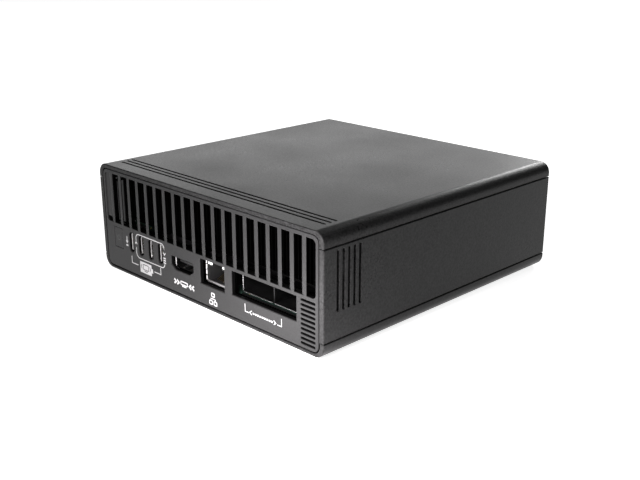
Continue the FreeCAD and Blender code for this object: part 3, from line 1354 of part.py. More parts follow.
def make_optical_cage():
    """The twin cage with its two bays, and a connector at the end of each."""
    cage = Design("qsfp_cage")
    half = D.bay_width + D.cage_divider / 2 + D.cage_wall
    height = D.bay_height + 2 * D.cage_wall
    outline = cage.sketch("XZ_Plane", -D.cage_mouth)
    rectangle(outline, D.bay_centre - half, D.bay_centre + half, D.cage_base, D.cage_base + height)
    cage.pad(outline, D.cage_depth)
    bays = cage.sketch("XZ_Plane", -D.cage_mouth)
    connectors = []
    floor = D.cage_base + D.cage_wall
    for side in (-1, 1):
        near = D.bay_centre + side * D.cage_divider / 2
        far = D.bay_centre + side * (D.cage_divider / 2 + D.bay_width)
        low_x, high_x = (near, far) if side > 0 else (far, near)
        rectangle(bays, low_x, high_x, floor, floor + D.bay_height)
        middle = (low_x + D.bay_width / 2, D.cage_mouth - D.cage_depth + D.bay_plug_depth)
        name = f"bay_connector_{side}"
        block = centred_box(name + "_block", middle, D.bay_plug_width, D.bay_plug_depth,
                            floor, D.bay_plug_height)
        slot_middle = (middle[0], middle[1] + D.bay_plug_depth / 4)
        slot = centred_box(name + "_slot", slot_middle, D.bay_slot_width, D.bay_plug_depth / 2,
                           floor + D.bay_slot_level, D.bay_slot_height)
        connectors.append(cut(name, block, [slot]))
    cage.pocket(bays, D.cage_depth - D.cage_wall, backwards=True)
    legs = cage.sketch("XY_Plane", board_top)
    rectangle(legs, D.bay_centre - half, D.bay_centre + half,
              D.cage_mouth - D.cage_depth, D.cage_mouth - D.cage_overhang)
    cage.pad(legs, D.cage_base + D.cage_wall / 2 - board_top)
    cage.finish()
    keep(grouped("qsfp_connectors", connectors), "qsfp_connectors")


# ---------------------------------------------------------------------------------------------
# The whole object
# ---------------------------------------------------------------------------------------------
def build():
    """Makes every sub-part."""
    make_top_cover()
    make_bottom_cover()
    make_side_wall("side_wall_left", 1)
    make_side_wall("side_wall_right", -1)
    make_rear_panel()
    louvred_panel("front_panel", -1, D.intake_base).finish()
    make_io_shield()
    make_chassis_tray()
    make_feet()
    make_bottom_screws()
    make_board()
    make_packages()
    make_cards()
    make_antennas()
    make_cold_plate()
    make_heat_pipes()
    make_fin_stack()
    bushes = [make_blower("fan_left", 1), make_blower("fan_right", -1)]
    keep(grouped("fan_bushes", bushes), "fan_bushes")
    make_power_key()
    make_usb_ports()
    make_hdmi_port()
    make_lan_jack()
    make_optical_cage()
    doc.recompute()


def check():
    """Stops with a message if a feature failed, a sub-part is not sound or a pocket removed nothing."""
    for item in doc.Objects:
        if "Invalid" in item.State or "Error" in item.State:
            raise RuntimeError(f"{item.Label} failed: {item.State}")
        if item.TypeId == "PartDesign::Pocket":
            before = item.BaseFeature.Shape.Volume
            if item.Shape.Volume > before - 1e-6:
                raise RuntimeError(f"{item.Name} removes nothing")
    for item in sub_parts:
        if item.Shape.isNull() or not item.Shape.isValid() or not item.Shape.Solids:
            raise RuntimeError(f"{item.Label} is not a sound solid")


build()
check()
os.makedirs("parts", exist_ok=True)
for part in sub_parts:
    part.Shape.exportStep(os.path.join("parts", part.Label + ".step"))
print(len(sub_parts), "sub-parts written")
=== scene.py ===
import json
import math
import bmesh
import bpy
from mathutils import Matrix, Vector


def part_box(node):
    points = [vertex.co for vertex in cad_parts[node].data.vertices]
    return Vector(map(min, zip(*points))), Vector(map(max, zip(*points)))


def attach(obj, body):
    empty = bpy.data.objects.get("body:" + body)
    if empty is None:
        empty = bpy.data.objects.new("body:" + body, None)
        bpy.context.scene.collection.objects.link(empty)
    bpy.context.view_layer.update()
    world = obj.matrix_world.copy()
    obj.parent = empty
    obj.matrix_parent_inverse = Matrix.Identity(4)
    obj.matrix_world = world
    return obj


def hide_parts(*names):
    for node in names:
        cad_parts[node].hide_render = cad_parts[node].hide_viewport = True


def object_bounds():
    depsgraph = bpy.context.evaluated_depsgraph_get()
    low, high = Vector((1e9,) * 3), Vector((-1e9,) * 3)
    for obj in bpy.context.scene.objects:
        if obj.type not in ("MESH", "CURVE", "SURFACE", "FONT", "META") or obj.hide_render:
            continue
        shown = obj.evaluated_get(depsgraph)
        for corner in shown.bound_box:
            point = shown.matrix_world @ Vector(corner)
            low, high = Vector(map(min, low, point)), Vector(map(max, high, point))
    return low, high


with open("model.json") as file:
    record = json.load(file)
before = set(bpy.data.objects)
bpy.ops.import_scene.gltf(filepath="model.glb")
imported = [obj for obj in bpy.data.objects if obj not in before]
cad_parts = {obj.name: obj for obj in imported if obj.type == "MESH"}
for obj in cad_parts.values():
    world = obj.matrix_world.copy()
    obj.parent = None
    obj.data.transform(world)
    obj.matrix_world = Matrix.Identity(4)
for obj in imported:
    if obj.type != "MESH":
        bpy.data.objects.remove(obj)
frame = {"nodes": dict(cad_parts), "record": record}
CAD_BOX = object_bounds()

MM = 0.001
STATIC = "chassis"          # the body that everything but the key and the rotors belongs to
KEY = "power_key"

# Camera and studio
CAMERA_PLACE = (-0.30322, 0.30279, 0.15880)
CAMERA_AZIMUTH = 225.310    # degrees, 0 looks along +Y
CAMERA_ELEVATION = 18.734
LENS = 52.694               # mm on a 36 mm sensor
FLOOR_RADIUS = 6.0

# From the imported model: the plane of the printed marks, and the USB-C ports
PANEL_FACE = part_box("rear_panel")[1].y
USB_SHELLS = [node for node in sorted(frame["nodes"]) if node.startswith("usb_c_shell_")]

# Painted shade begins here on the way into the case: half width, half depth, top and base levels
SHADE_HALF_WIDTH, SHADE_HALF_DEPTH = 73.2 * MM, 74.35 * MM
SHADE_TOP, SHADE_BASE = 50.6 * MM, 2.0 * MM


def centre_of(node):
    """The middle of a CAD node's box."""
    low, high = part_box(node)
    return (low + high) / 2


# ---------------------------------------------------------------------------------------------
# Materials
# ---------------------------------------------------------------------------------------------
class Surface:
    """A node material with short calls for the textures that the finishes share."""

    def __init__(self, name):
        self.material = bpy.data.materials.new(name)
        self.material.use_nodes = True
        self.tree = self.material.node_tree
        self.tree.nodes.clear()
        self.shader = self.add("ShaderNodeBsdfPrincipled")
        out = self.add("ShaderNodeOutputMaterial")
        self.join(self.shader.outputs[0], out.inputs[0])
        self.place = self.add("ShaderNodeTexCoord").outputs["Object"]

    def add(self, kind, **settings):
        node = self.tree.nodes.new(kind)
        for name, value in settings.items():
            setattr(node, name, value)
        return node

    def join(self, source, target):
        self.tree.links.new(source, target)

    def stretched(self, scale):
        """The object's coordinates scaled apart along the axes, in periods a metre."""
        node = self.add("ShaderNodeMapping")
        node.inputs["Scale"].default_value = scale
        self.join(self.place, node.inputs["Vector"])
        return node.outputs[0]

    def noise(self, scale, detail=2.0, vector=None, rough=0.5):
        node = self.add("ShaderNodeTexNoise")
        node.inputs["Scale"].default_value = scale
        node.inputs["Detail"].default_value = detail
        node.inputs["Roughness"].default_value = rough
        self.join(vector or self.place, node.inputs["Vector"])
        return node.outputs["Fac"]

    def cells(self, scale, vector=None, feature="F1"):
        node = self.add("ShaderNodeTexVoronoi", feature=feature)
        node.inputs["Scale"].default_value = scale
        self.join(vector or self.place, node.inputs["Vector"])
        return node.outputs["Distance"]

    def spread(self, factor, low, high, start=0.0, end=1.0):
        """Maps a factor's stretch from start to end onto low to high."""
        node = self.add("ShaderNodeMapRange")
        for name, value in zip(("From Min", "From Max", "To Min", "To Max"), (start, end, low, high)):
            node.inputs[name].default_value = value
        self.join(factor, node.inputs["Value"])
        return node.outputs[0]

    def blend(self, factor, first, second):
        """Mixes two colours, each a tuple or an output."""
        node = self.add("ShaderNodeMix", data_type="RGBA")
        self.join(factor, node.inputs[0])
        for value, socket in ((first, node.inputs[6]), (second, node.inputs[7])):
            if isinstance(value, tuple):
                socket.default_value = (*value, 1.0)
            else:
                self.join(value, socket)
        return node.outputs[2]

    def shades(self, factor, dark, light, start=0.3, end=0.7):
        """Two shades of a colour, spread over a factor's stretch from start to end."""
        return self.blend(self.spread(factor, 0.0, 1.0, start, end), dark, light)

    def combine(self, kind, first, second):
        """A Math node over two values, each a number or an output."""
        node = self.add("ShaderNodeMath", operation=kind)
        for value, socket in ((first, node.inputs[0]), (second, node.inputs[1])):
            if isinstance(value, float):
                socket.default_value = value
            else:
                self.join(value, socket)
        return node.outputs[0]

    def edges(self, radius):
        """A rounded normal, and a mask that is high along sharp edges."""
        bevel = self.add("ShaderNodeBevel", samples=6)
        bevel.inputs["Radius"].default_value = radius
        geometry = self.add("ShaderNodeNewGeometry")
        dot = self.add("ShaderNodeVectorMath", operation="DOT_PRODUCT")
        self.join(bevel.outputs[0], dot.inputs[0])
        self.join(geometry.outputs["Normal"], dot.inputs[1])
        return bevel.outputs[0], self.spread(dot.outputs["Value"], 1.0, 0.0, 0.80, 0.985)

    def unshaded_surface_mask(self, fade):
        """1 on the case's outer surface, falling to 0 within the case and inside its openings, where
        painted shade goes.
        """
        split = self.add("ShaderNodeSeparateXYZ")
        self.join(self.place, split.inputs[0])
        across = self.combine("ABSOLUTE", split.outputs["X"], 0.0)
        along = self.combine("ABSOLUTE", split.outputs["Y"], 0.0)
        flanks = self.spread(across, 0.0, 1.0, SHADE_HALF_WIDTH, SHADE_HALF_WIDTH + fade)
        ends = self.spread(along, 0.0, 1.0, SHADE_HALF_DEPTH, SHADE_HALF_DEPTH + fade)
        top = self.spread(split.outputs["Z"], 0.0, 1.0, SHADE_TOP, SHADE_TOP + fade)
        base = self.spread(split.outputs["Z"], 1.0, 0.0, SHADE_BASE - fade, SHADE_BASE)
        around = self.combine("MAXIMUM", flanks, ends)
        return self.combine("MAXIMUM", around, self.combine("MAXIMUM", top, base))

    def bump(self, height, strength, distance, normal=None):
        node = self.add("ShaderNodeBump")
        node.inputs["Strength"].default_value = strength
        node.inputs["Distance"].default_value = distance
        self.join(height, node.inputs["Height"])
        if normal:
            self.join(normal, node.inputs["Normal"])
        return node.outputs[0]

    def finish(self, colour, rough, normal=None, metallic=0.0, specular=0.5):
        """Joins the colour, roughness and normal to the shader; a plain number is set on its socket."""
        sockets = self.shader.inputs
        for value, name in ((colour, "Base Color"), (rough, "Roughness")):
            if isinstance(value, tuple):
                sockets[name].default_value = (*value, 1.0)
            elif isinstance(value, float):
                sockets[name].default_value = value
            else:
                self.join(value, sockets[name])
        if normal:
            self.join(normal, sockets["Normal"])
        sockets["Metallic"].default_value = metallic
        if isinstance(specular, float):
            sockets["Specular IOR Level"].default_value = specular
        else:
            self.join(specular, sockets["Specular IOR Level"])
        return self.material


def tinted(colour, amount):
    """A colour made lighter or darker by a share."""
    return tuple(min(1.0, part * (1.0 + amount)) for part in colour)


def textured_paint(name, colour, rough, grain, grain_depth, specular, mottle=0.4, edge_wear_and_highlight=0.25):
    """Powder coat: fine sand grain, soft mottling, edges lighter as partly worn paint and partly a painted
    highlight, and painted shade, with darker colour and less gloss, inside the case and its openings."""
    surface = Surface(name)
    sand = surface.noise(grain, 3.0, rough=0.6)
    speck = surface.noise(grain * 0.32, 2.0)
    cloud = surface.noise(26.0, 3.0)
    rounded, edge = surface.edges(0.16 * MM)
    body = surface.shades(speck, tinted(colour, -mottle), tinted(colour, mottle))
    body = surface.blend(surface.spread(cloud, 0.0, 0.22, 0.35, 0.7), body, tinted(colour, 0.25))
    # Edges lighter: partly worn paint, partly a painted highlight along them
    worn_and_highlit = surface.combine("MULTIPLY", edge, surface.spread(cloud, edge_wear_and_highlight * 0.5, edge_wear_and_highlight, 0.3, 0.7))
    body = surface.blend(worn_and_highlit, body, tinted(colour, 2.2))
    gloss = surface.combine("ADD", surface.spread(speck, rough - 0.05, rough + 0.05, 0.3, 0.7),
                            surface.spread(cloud, -0.03, 0.03, 0.3, 0.7))
    coarse = surface.bump(speck, 0.6, grain_depth * 1.6, rounded)
    # Painted shade: colour and gloss darkened inside the case and its openings
    unshaded = surface.unshaded_surface_mask(0.3 * MM)
    body = surface.blend(unshaded, tinted(colour, -0.85), body)
    return surface.finish(body, gloss, surface.bump(sand, 0.5, grain_depth, coarse),
                          specular=surface.spread(unshaded, specular * 0.12, specular))


def moulded_plastic(name, colour, rough=0.42, specular=0.4):
    """Spark-eroded moulding: very fine grain, faint flow marks."""
    surface = Surface(name)
    grain = surface.noise(7000.0, 2.0)
    flow = surface.noise(1.0, 3.0, surface.stretched((60.0, 60.0, 260.0)))
    rounded, edge = surface.edges(0.10 * MM)
    body = surface.shades(flow, tinted(colour, -0.12), tinted(colour, 0.15))
    body = surface.blend(surface.spread(edge, 0.0, 0.35), body, tinted(colour, 1.6))
    gloss = surface.spread(flow, rough - 0.06, rough + 0.07, 0.3, 0.7)
    return surface.finish(body, gloss, surface.bump(grain, 0.3, 0.012 * MM, rounded), specular=specular)


def sheet_metal(name, colour, rough, direction=(1.0, 40.0, 40.0), depth=0.006, radius=0.08):
    """Rolled or plated metal: fine drawn lines, stains, and bright cut edges."""
    surface = Surface(name)
    lines_per_metre = 120.0
    scale = tuple(lines_per_metre * part for part in direction)
    lines = surface.noise(1.0, 4.0, surface.stretched(scale), rough=0.7)
    stain = surface.noise(180.0, 3.0)
    rounded, edge = surface.edges(radius * MM)
    body = surface.shades(stain, tinted(colour, -0.12), tinted(colour, 0.08))
    body = surface.blend(surface.spread(edge, 0.0, 0.5), body, tinted(colour, 0.25))
    gloss = surface.combine("ADD", surface.spread(lines, rough - 0.07, rough + 0.07, 0.3, 0.7),
                            surface.spread(stain, -0.04, 0.05, 0.3, 0.7))
    normal = surface.bump(lines, 0.35, depth * MM, rounded)
    return surface.finish(body, gloss, normal, metallic=1.0)


def rubber(name):
    """Matt foot rubber with dusty patches and a fine grain."""
    surface = Surface(name)
    grain = surface.noise(3800.0, 3.0)
    dust = surface.noise(320.0, 4.0)
    body = surface.shades(dust, (0.018, 0.018, 0.018), (0.055, 0.053, 0.05), 0.45, 0.75)
    gloss = surface.spread(dust, 0.72, 0.92, 0.35, 0.7)
    return surface.finish(body, gloss, surface.bump(grain, 0.5, 0.03 * MM), specular=0.3)


def laminate(name):
    """Circuit board: dark mask over tracks, plated vias between them."""
    surface = Surface(name)
    tracks = surface.add("ShaderNodeTexBrick", offset=0.37, offset_frequency=3)
    tracks.inputs["Scale"].default_value = 420.0
    tracks.inputs["Mortar Size"].default_value = 0.05
    tracks.inputs["Brick Width"].default_value = 2.6
    tracks.inputs["Row Height"].default_value = 0.42
    surface.join(surface.place, tracks.inputs["Vector"])
    weave = surface.noise(1.0, 2.0, surface.stretched((2600.0, 900.0, 900.0)))
    vias = surface.spread(surface.cells(360.0), 1.0, 0.0, 0.10, 0.14)
    mask = surface.shades(weave, (0.003, 0.006, 0.005), (0.005, 0.010, 0.008))
    body = surface.blend(tracks.outputs["Fac"], mask, (0.010, 0.024, 0.016))
    body = surface.blend(vias, body, (0.55, 0.42, 0.16))
    gloss = surface.spread(weave, 0.26, 0.42, 0.3, 0.7)
    return surface.finish(body, gloss, surface.bump(tracks.outputs["Fac"], 0.4, 0.03 * MM))


def moulding_compound(name):
    """Chip package: matt black resin with a faint laser-burnt pattern."""
    surface = Surface(name)
    grain = surface.noise(5200.0, 3.0)
    burn = surface.noise(520.0, 2.0)
    body = surface.shades(burn, (0.014, 0.014, 0.015), (0.030, 0.030, 0.031), 0.35, 0.65)
    rounded, edge = surface.edges(0.12 * MM)
    body = surface.blend(surface.spread(edge, 0.0, 0.4), body, (0.07, 0.07, 0.07))
    gloss = surface.spread(burn, 0.5, 0.66, 0.3, 0.7)
    return surface.finish(body, gloss, surface.bump(grain, 0.4, 0.02 * MM, rounded))


def milky_pipe(name):
    """Moulded light pipe: translucent, slightly uneven."""
    surface = Surface(name)
    cloud = surface.noise(900.0, 3.0)
    body = surface.shades(cloud, (0.62, 0.64, 0.60), (0.88, 0.89, 0.84))
    material = surface.finish(body, surface.spread(cloud, 0.22, 0.38, 0.3, 0.7),
                              surface.bump(cloud, 0.2, 0.02 * MM))
    surface.shader.inputs["Subsurface Weight"].default_value = 0.35
    surface.shader.inputs["Subsurface Radius"].default_value = (0.6 * MM, 0.6 * MM, 0.5 * MM)
    return material


def printed_ink(name, colour, rough=0.55):
    """Pad-printed ink: slightly uneven cover over the coat's grain."""
    surface = Surface(name)
    cover = surface.noise(5200.0, 2.0)
    body = surface.shades(cover, tinted(colour, -0.14), colour, 0.32, 0.62)
    gloss = surface.spread(cover, rough - 0.08, rough + 0.08, 0.3, 0.7)
    return surface.finish(body, gloss, surface.bump(cover, 0.35, 0.01 * MM))


def floor_paint(name):
    """The pale studio floor, lit from within like a light table, with a hardly visible unevenness."""
    surface = Surface(name)
    cloud = surface.noise(5.0, 3.0)
    body = surface.shades(cloud, (0.86, 0.86, 0.86), (0.88, 0.88, 0.88))
    surface.shader.inputs["Emission Color"].default_value = (1.0, 1.0, 1.0, 1.0)
    surface.shader.inputs["Emission Strength"].default_value = 0.85
    return surface.finish(body, 0.9, specular=0.1)


SHELL = (0.0115, 0.0115, 0.0115)
FINISHES = {
    "shell_paint": textured_paint("shell_paint", SHELL, 0.33, 3600.0, 0.03 * MM, 0.13, 0.6),
    "panel_paint": textured_paint("panel_paint", tinted(SHELL, 0.15), 0.35, 5200.0, 0.018 * MM, 0.15, 0.25),
    "black_steel": textured_paint("black_steel", (0.002, 0.002, 0.002), 0.55, 6000.0, 0.01 * MM, 0.08),
    "tray_steel": textured_paint("tray_steel", (0.006, 0.006, 0.006), 0.5, 6000.0, 0.01 * MM, 0.12),
    "port_steel": sheet_metal("port_steel", (0.80, 0.79, 0.77), 0.27, (40.0, 1.0, 40.0), 0.004, 0.06),
    "foot_rubber": rubber("foot_rubber"),
    "screw_steel": sheet_metal("screw_steel", (0.50, 0.50, 0.50), 0.30, (20.0, 20.0, 4.0), 0.004, 0.1),
    "board_laminate": laminate("board_laminate"),
    "package_resin": moulding_compound("package_resin"),
    "lid_nickel": sheet_metal("lid_nickel", (0.62, 0.61, 0.58), 0.30, (1.0, 30.0, 30.0), 0.003, 0.12),
    "copper": sheet_metal("copper", (0.76, 0.36, 0.20), 0.30, (30.0, 1.0, 30.0), 0.005, 0.12),
    "fin_black": textured_paint("fin_black", (0.002, 0.002, 0.002), 0.5, 5200.0, 0.008 * MM, 0.10),
    "fan_plastic": moulded_plastic("fan_plastic", (0.002, 0.002, 0.002), 0.5, 0.08),
    "bush_brass": sheet_metal("bush_brass", (0.66, 0.48, 0.20), 0.35, (30.0, 30.0, 2.0), 0.004, 0.1),
    "connector_plastic": moulded_plastic("connector_plastic", (0.008, 0.008, 0.008), 0.45, 0.3),
    "light_pipe": milky_pipe("light_pipe"),
    "lead_jacket": moulded_plastic("lead_jacket", (0.008, 0.008, 0.008), 0.5, 0.3),
    "marking_ink": printed_ink("marking_ink", (0.38, 0.38, 0.38)),
    "contact_gold": sheet_metal("contact_gold", (0.34, 0.28, 0.17), 0.28, (40.0, 1.0, 40.0), 0.002, 0.04),
}
# Finishes of single pieces: rolled lips and earthing tabs, nickel cages darkened all over as painted shade
# for their insides, earthing fingers, and the dark ink on the key and on the filled tab
LIP_STEEL = sheet_metal("lip_steel", (0.55, 0.54, 0.54), 0.42, (40.0, 1.0, 40.0), 0.003, 0.04)
# Painted shade: the optical cage and the HDMI and network shells darkened to near black so their insides
# read shaded
CAGE_PAINTED_SHADE = sheet_metal("cage_painted_shade", (0.030, 0.030, 0.030), 0.45, (40.0, 1.0, 40.0), 0.004, 0.06)
FINGER_STEEL = sheet_metal("finger_steel", (0.24, 0.24, 0.24), 0.4, (40.0, 1.0, 40.0), 0.004, 0.05)
KEY_INK = printed_ink("key_ink", (0.040, 0.040, 0.040), 0.6)
OWN_FINISHES = {"qsfp_cage": CAGE_PAINTED_SHADE, "hdmi_shell": CAGE_PAINTED_SHADE, "lan_shell": CAGE_PAINTED_SHADE}


def dress_frame():
    """Gives every CAD node its finish."""
    for entry in frame["record"]["subparts"]:
        node = frame["nodes"][entry["node"]]
        node.data.materials.clear()
        node.data.materials.append(OWN_FINISHES.get(entry["node"], FINISHES[entry["material_slot"]]))


# ---------------------------------------------------------------------------------------------
# Mesh helpers
# ---------------------------------------------------------------------------------------------
def piece(name, mesh_maker, material, body=STATIC, smooth=False):
    """A new object whose mesh a function fills, riding on a body."""
    mesh = bpy.data.meshes.new(name)
    work = bmesh.new()
    mesh_maker(work)
    bmesh.ops.remove_doubles(work, verts=work.verts, dist=1e-8)
    bmesh.ops.recalc_face_normals(work, faces=work.faces)
    work.to_mesh(mesh)
    work.free()
    mesh.materials.append(material)
    if smooth:
        mesh.shade_smooth()
        mesh.set_sharp_from_angle(angle=math.radians(32))
    made = bpy.data.objects.new(name, mesh)
    bpy.context.scene.collection.objects.link(made)
    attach(made, body)
    return made


def bevelled_block(work, low, high, bevel):
    """A box between two corners with its edges rounded by a bevel."""
    low, high = Vector(low), Vector(high)
    size = high - low
    made = bmesh.ops.create_cube(work, size=1.0)["verts"]
    for vert in made:
        vert.co = Vector(low[axis] + (vert.co[axis] + 0.5) * size[axis] for axis in range(3))
    edges = list({edge for vert in made for edge in vert.link_edges})
    bmesh.ops.bevel(work, geom=edges, offset=min(bevel, min(size) * 0.4), segments=2,
                    profile=0.5, affect="EDGES", clamp_overlap=True)


def strip(work, path, width_axis, width, thickness):
    """A bent flat strip: its path is a list of points, its width lies along an axis."""
    points = [Vector(point) for point in path]
    across = Vector(width_axis).normalized()
    rings = []
    for index, point in enumerate(points):
        ahead = points[min(index + 1, len(points) - 1)] - points[max(index - 1, 0)]
        upward = across.cross(ahead.normalized()).normalized()
        rings.append([work.verts.new(point + across * (side * width / 2) + upward * (lift * thickness / 2))
                      for side, lift in ((-1, -1), (1, -1), (1, 1), (-1, 1))])
    for first, second in zip(rings, rings[1:]):
        for index in range(4):
            following = (index + 1) % 4
            work.faces.new((first[index], first[following], second[following], second[index]))
    work.faces.new(rings[0])
    work.faces.new(rings[-1])


def turned(work, centre, rings, sides=48):
    """A solid of revolution about an upright axis. Each ring is a height and a radius, which may be
    a function of the angle; a radius of 0 closes the end."""
    loops = []
    for height, radius in rings:
        if radius == 0:
            loops.append([work.verts.new(centre + Vector((0, 0, height)))])
            continue
        loop = []
        for index in range(sides):
            angle = 2 * math.pi * index / sides
            reach = radius(angle) if callable(radius) else radius
            spot = Vector((reach * math.cos(angle), reach * math.sin(angle), height))
            loop.append(work.verts.new(centre + spot))
        loops.append(loop)
    for first, second in zip(loops, loops[1:]):
        for index in range(sides):
            following = (index + 1) % sides
            corners = [first[index % len(first)], first[following % len(first)],
                       second[following % len(second)], second[index % len(second)]]
            unique = list(dict.fromkeys(corners))
            if len(unique) > 2:
                work.faces.new(unique)


# ---------------------------------------------------------------------------------------------
# Printed marks on the rear panel
# ---------------------------------------------------------------------------------------------
INK_DEPTH = 0.03 * MM
INK_LINE = 0.38 * MM


def ink_line(work, points, width=INK_LINE, closed=False, lift=0.0):
    """A printed line through (x, z) points in mm, mitred at its corners, on the rear panel or lifted
    off it."""
    path = [Vector((x * MM, z * MM)) for x, z in points]
    base, top = PANEL_FACE + lift, PANEL_FACE + lift + INK_DEPTH
    count = len(path)
    sides = []
    for index, point in enumerate(path):
        before = path[index - 1] if closed or index else point
        after = path[(index + 1) % count] if closed or index < count - 1 else point
        entering = (point - before).normalized() if before != point else (after - point).normalized()
        leaving = (after - point).normalized() if after != point else entering
        across = Vector((-(entering + leaving).y, (entering + leaving).x)).normalized()
        reach = width / 2 / max(0.35, across.dot(Vector((-entering.y, entering.x))))
        sides.append((point + across * reach, point - across * reach))
    rings = []
    for left, right in sides:
        rings.append([work.verts.new((spot.x, level, spot.y))
                      for spot, level in ((left, base), (right, base), (right, top), (left, top))])
    pairs = list(zip(rings, rings[1:])) + ([(rings[-1], rings[0])] if closed else [])
    for first, second in pairs:
        for index in range(4):
            following = (index + 1) % 4
            work.faces.new((first[index], first[following], second[following], second[index]))
    if not closed:
        work.faces.new(rings[0])
        work.faces.new(rings[-1])


def arc(x, z, radius, start, end, steps=8):
    """Points of an arc in mm, its angles in degrees, anticlockwise as (x, z)."""
    angles = [math.radians(start + (end - start) * step / steps) for step in range(steps + 1)]
    return [(x + radius * math.cos(angle), z + radius * math.sin(angle)) for angle in angles]


def upper_bends(left, right, high, radius):
    """The two upper corners of a rounded rectangle, from right to left."""
    level = high - radius
    return arc(right - radius, level, radius, 0, 90) + arc(left + radius, level, radius, 90, 180)


def lower_bends(left, right, low, radius):
    """The two lower corners of a rounded rectangle, from left to right."""
    level = low + radius
    return arc(left + radius, level, radius, 180, 270) + arc(right - radius, level, radius, 270, 360)


def ink_frame(work, left, right, low, high, radius, width=INK_LINE, lift=0.0):
    """A printed rounded rectangle."""
    path = upper_bends(left, right, high, radius) + lower_bends(left, right, low, radius)
    ink_line(work, path, width, True, lift)


def beside(node, shift):
    """The x in mm of a port's middle, shifted to where a mark is printed."""
    return centre_of(node).x / MM + shift


def usb_marks(work):
    """The rounded frame round three USB-C ports, broken on both sides by small pictograms."""
    left, right = beside("usb_c_shell_4", -3.25), beside("usb_c_shell_2", 3.75)
    low, high, radius = 11.5, 22.95, 2.3
    left_gap, right_gap = (13.4, 20.8), (16.4, 19.4)
    ink_line(work, [(right, right_gap[1])] + upper_bends(left, right, high, radius) + [(left, left_gap[1])])
    ink_line(work, [(left, left_gap[0])] + lower_bends(left, right, low, radius) + [(right, right_gap[0])])
    arrow(work, right, 16.9, 18.9, 0.8)
    arrow(work, left, 20.2, 18.0, 0.85)
    for level in (14.2, 15.3, 16.4):
        ink_line(work, [(left - 0.85, level), (left + 0.85, level)], 0.6 * MM)


def arrow(work, x, tail, tip, half):
    """A small upright arrow from a tail level to a tip level."""
    back = tip + math.copysign(1.0, tail - tip)
    ink_line(work, [(x - half, back), (x, tip), (x + half, back)], 0.5 * MM)


def power_in_mark(work):
    """An arrow into a bar beside the supply port."""
    x = beside("usb_c_shell_1", 3.75)
    ink_line(work, [(x, 19.9), (x, 17.4)], 0.6 * MM)
    arrow(work, x, 19.9, 16.8, 0.75)
    ink_line(work, [(x - 0.8, 15.5), (x + 0.8, 15.5)], 0.7 * MM)


def bracket(work, legs, top, foot, reach, width=INK_LINE):
    """Two upright legs, each an x and the side its foot points to, with feet of a reach."""
    for x, side in legs:
        ink_line(work, [(x, top), (x, foot), (x + side * reach, foot)], width)


def display_marks(work):
    """A bracket under the USB-C ports with a filled tab in its middle, and a nub on the tab."""
    tab, tab_length, tab_level, tab_height = beside("usb_c_shell_3", 0.05), 8.9, 7.55, 5.3
    nub_length, nub_level, nub_height, overlap = 1.1, 7.45, 2.1, 0.01
    legs = (beside("usb_c_shell_1", 0.55), -1), (beside("usb_c_shell_4", 0.25), 1)
    bracket(work, legs, 11.0, 7.7, 5.0)
    ink_line(work, [(tab, tab_level), (tab + tab_length, tab_level)], tab_height * MM)
    ink_line(work, [(tab - nub_length, nub_level), (tab + overlap, nub_level)], nub_height * MM)


def display_tab_mark(work):
    """A small screen between two waves, dark on the filled tab."""
    x, z, lift = beside("usb_c_shell_3", 4.5), 7.6, INK_DEPTH
    ink_frame(work, x - 2.1, x + 2.1, z - 1.0, z + 1.5, 0.4, 0.42 * MM, lift)
    ink_line(work, [(x - 1.2, z - 1.75), (x + 1.2, z - 1.75)], 0.42 * MM, False, lift)
    for side in (-1, 1):
        ink_line(work, [(x + side * 3.1, z - 0.9), (x + side * 3.6, z + 0.25), (x + side * 3.1, z + 1.4)],
                 0.4 * MM, False, lift)


def screen_mark(work):
    """A screen on its stand between two pairs of chevrons, under the HDMI port."""
    x, low, high = beside("hdmi_shell", -0.85), 6.6, 8.75
    ink_frame(work, x - 2.4, x + 2.4, low + 0.7, high, 0.4, 0.6 * MM)
    ink_line(work, [(x - 1.5, low), (x + 1.5, low)], 0.6 * MM)
    middle, half = (low + high) / 2, (high - low) / 2
    for side in (-1, 1):
        for reach in (3.7, 5.7):
            tip, back = x + side * reach, x + side * (reach + 1.4)
            ink_line(work, [(back, middle + half), (tip, middle), (back, middle - half)], 0.8 * MM)


def network_mark(work):
    """Three joined boxes, the usual sign for a wired network."""
    x, apart = beside("lan_shell", -0.3), 1.5
    ink_frame(work, x - 0.95, x + 0.95, 7.8, 9.3, 0.25, 0.5 * MM)
    ink_line(work, [(x, 7.8), (x, 6.7)])
    ink_line(work, [(x - apart, 5.8), (x - apart, 6.7), (x + apart, 6.7), (x + apart, 5.8)])
    for side in (-1, 1):
        ink_frame(work, x + side * apart - 0.95, x + side * apart + 0.95, 4.1, 5.7, 0.25, 0.5 * MM)


def optical_marks(work):
    """A bracket under the optical bays round a broken line with two arrowheads."""
    legs = (beside("qsfp_cage", 11.45), -1), (beside("qsfp_cage", -10.65), 1)
    bracket(work, legs, 11.0, 7.6, 2.5, 0.3 * MM)
    middle, level, reach, back, half = beside("qsfp_cage", 0.65), 7.95, 7.9, 1.2, 0.9
    for side in (-1, 1):
        tip = middle + side * reach
        ink_line(work, [(tip - side * back, level + half), (tip, level), (tip - side * back, level - half)])
    pitch, half_dash = 1.4, 0.42
    for step in range(-4, 5):
        x = middle + step * pitch
        ink_line(work, [(x - half_dash, level), (x + half_dash, level)], 0.8 * MM)


def key_mark(work):
    """The power sign on the key's cap: a ring broken at the top by a short bar."""
    middle = centre_of("power_button")
    x, z, radius, line = middle.x / MM, middle.z / MM, 1.15, 0.28 * MM
    ink_line(work, arc(x, z, radius, 130, 410, 20), line)
    ink_line(work, [(x, z + 1.55), (x, z + 0.25)], line)


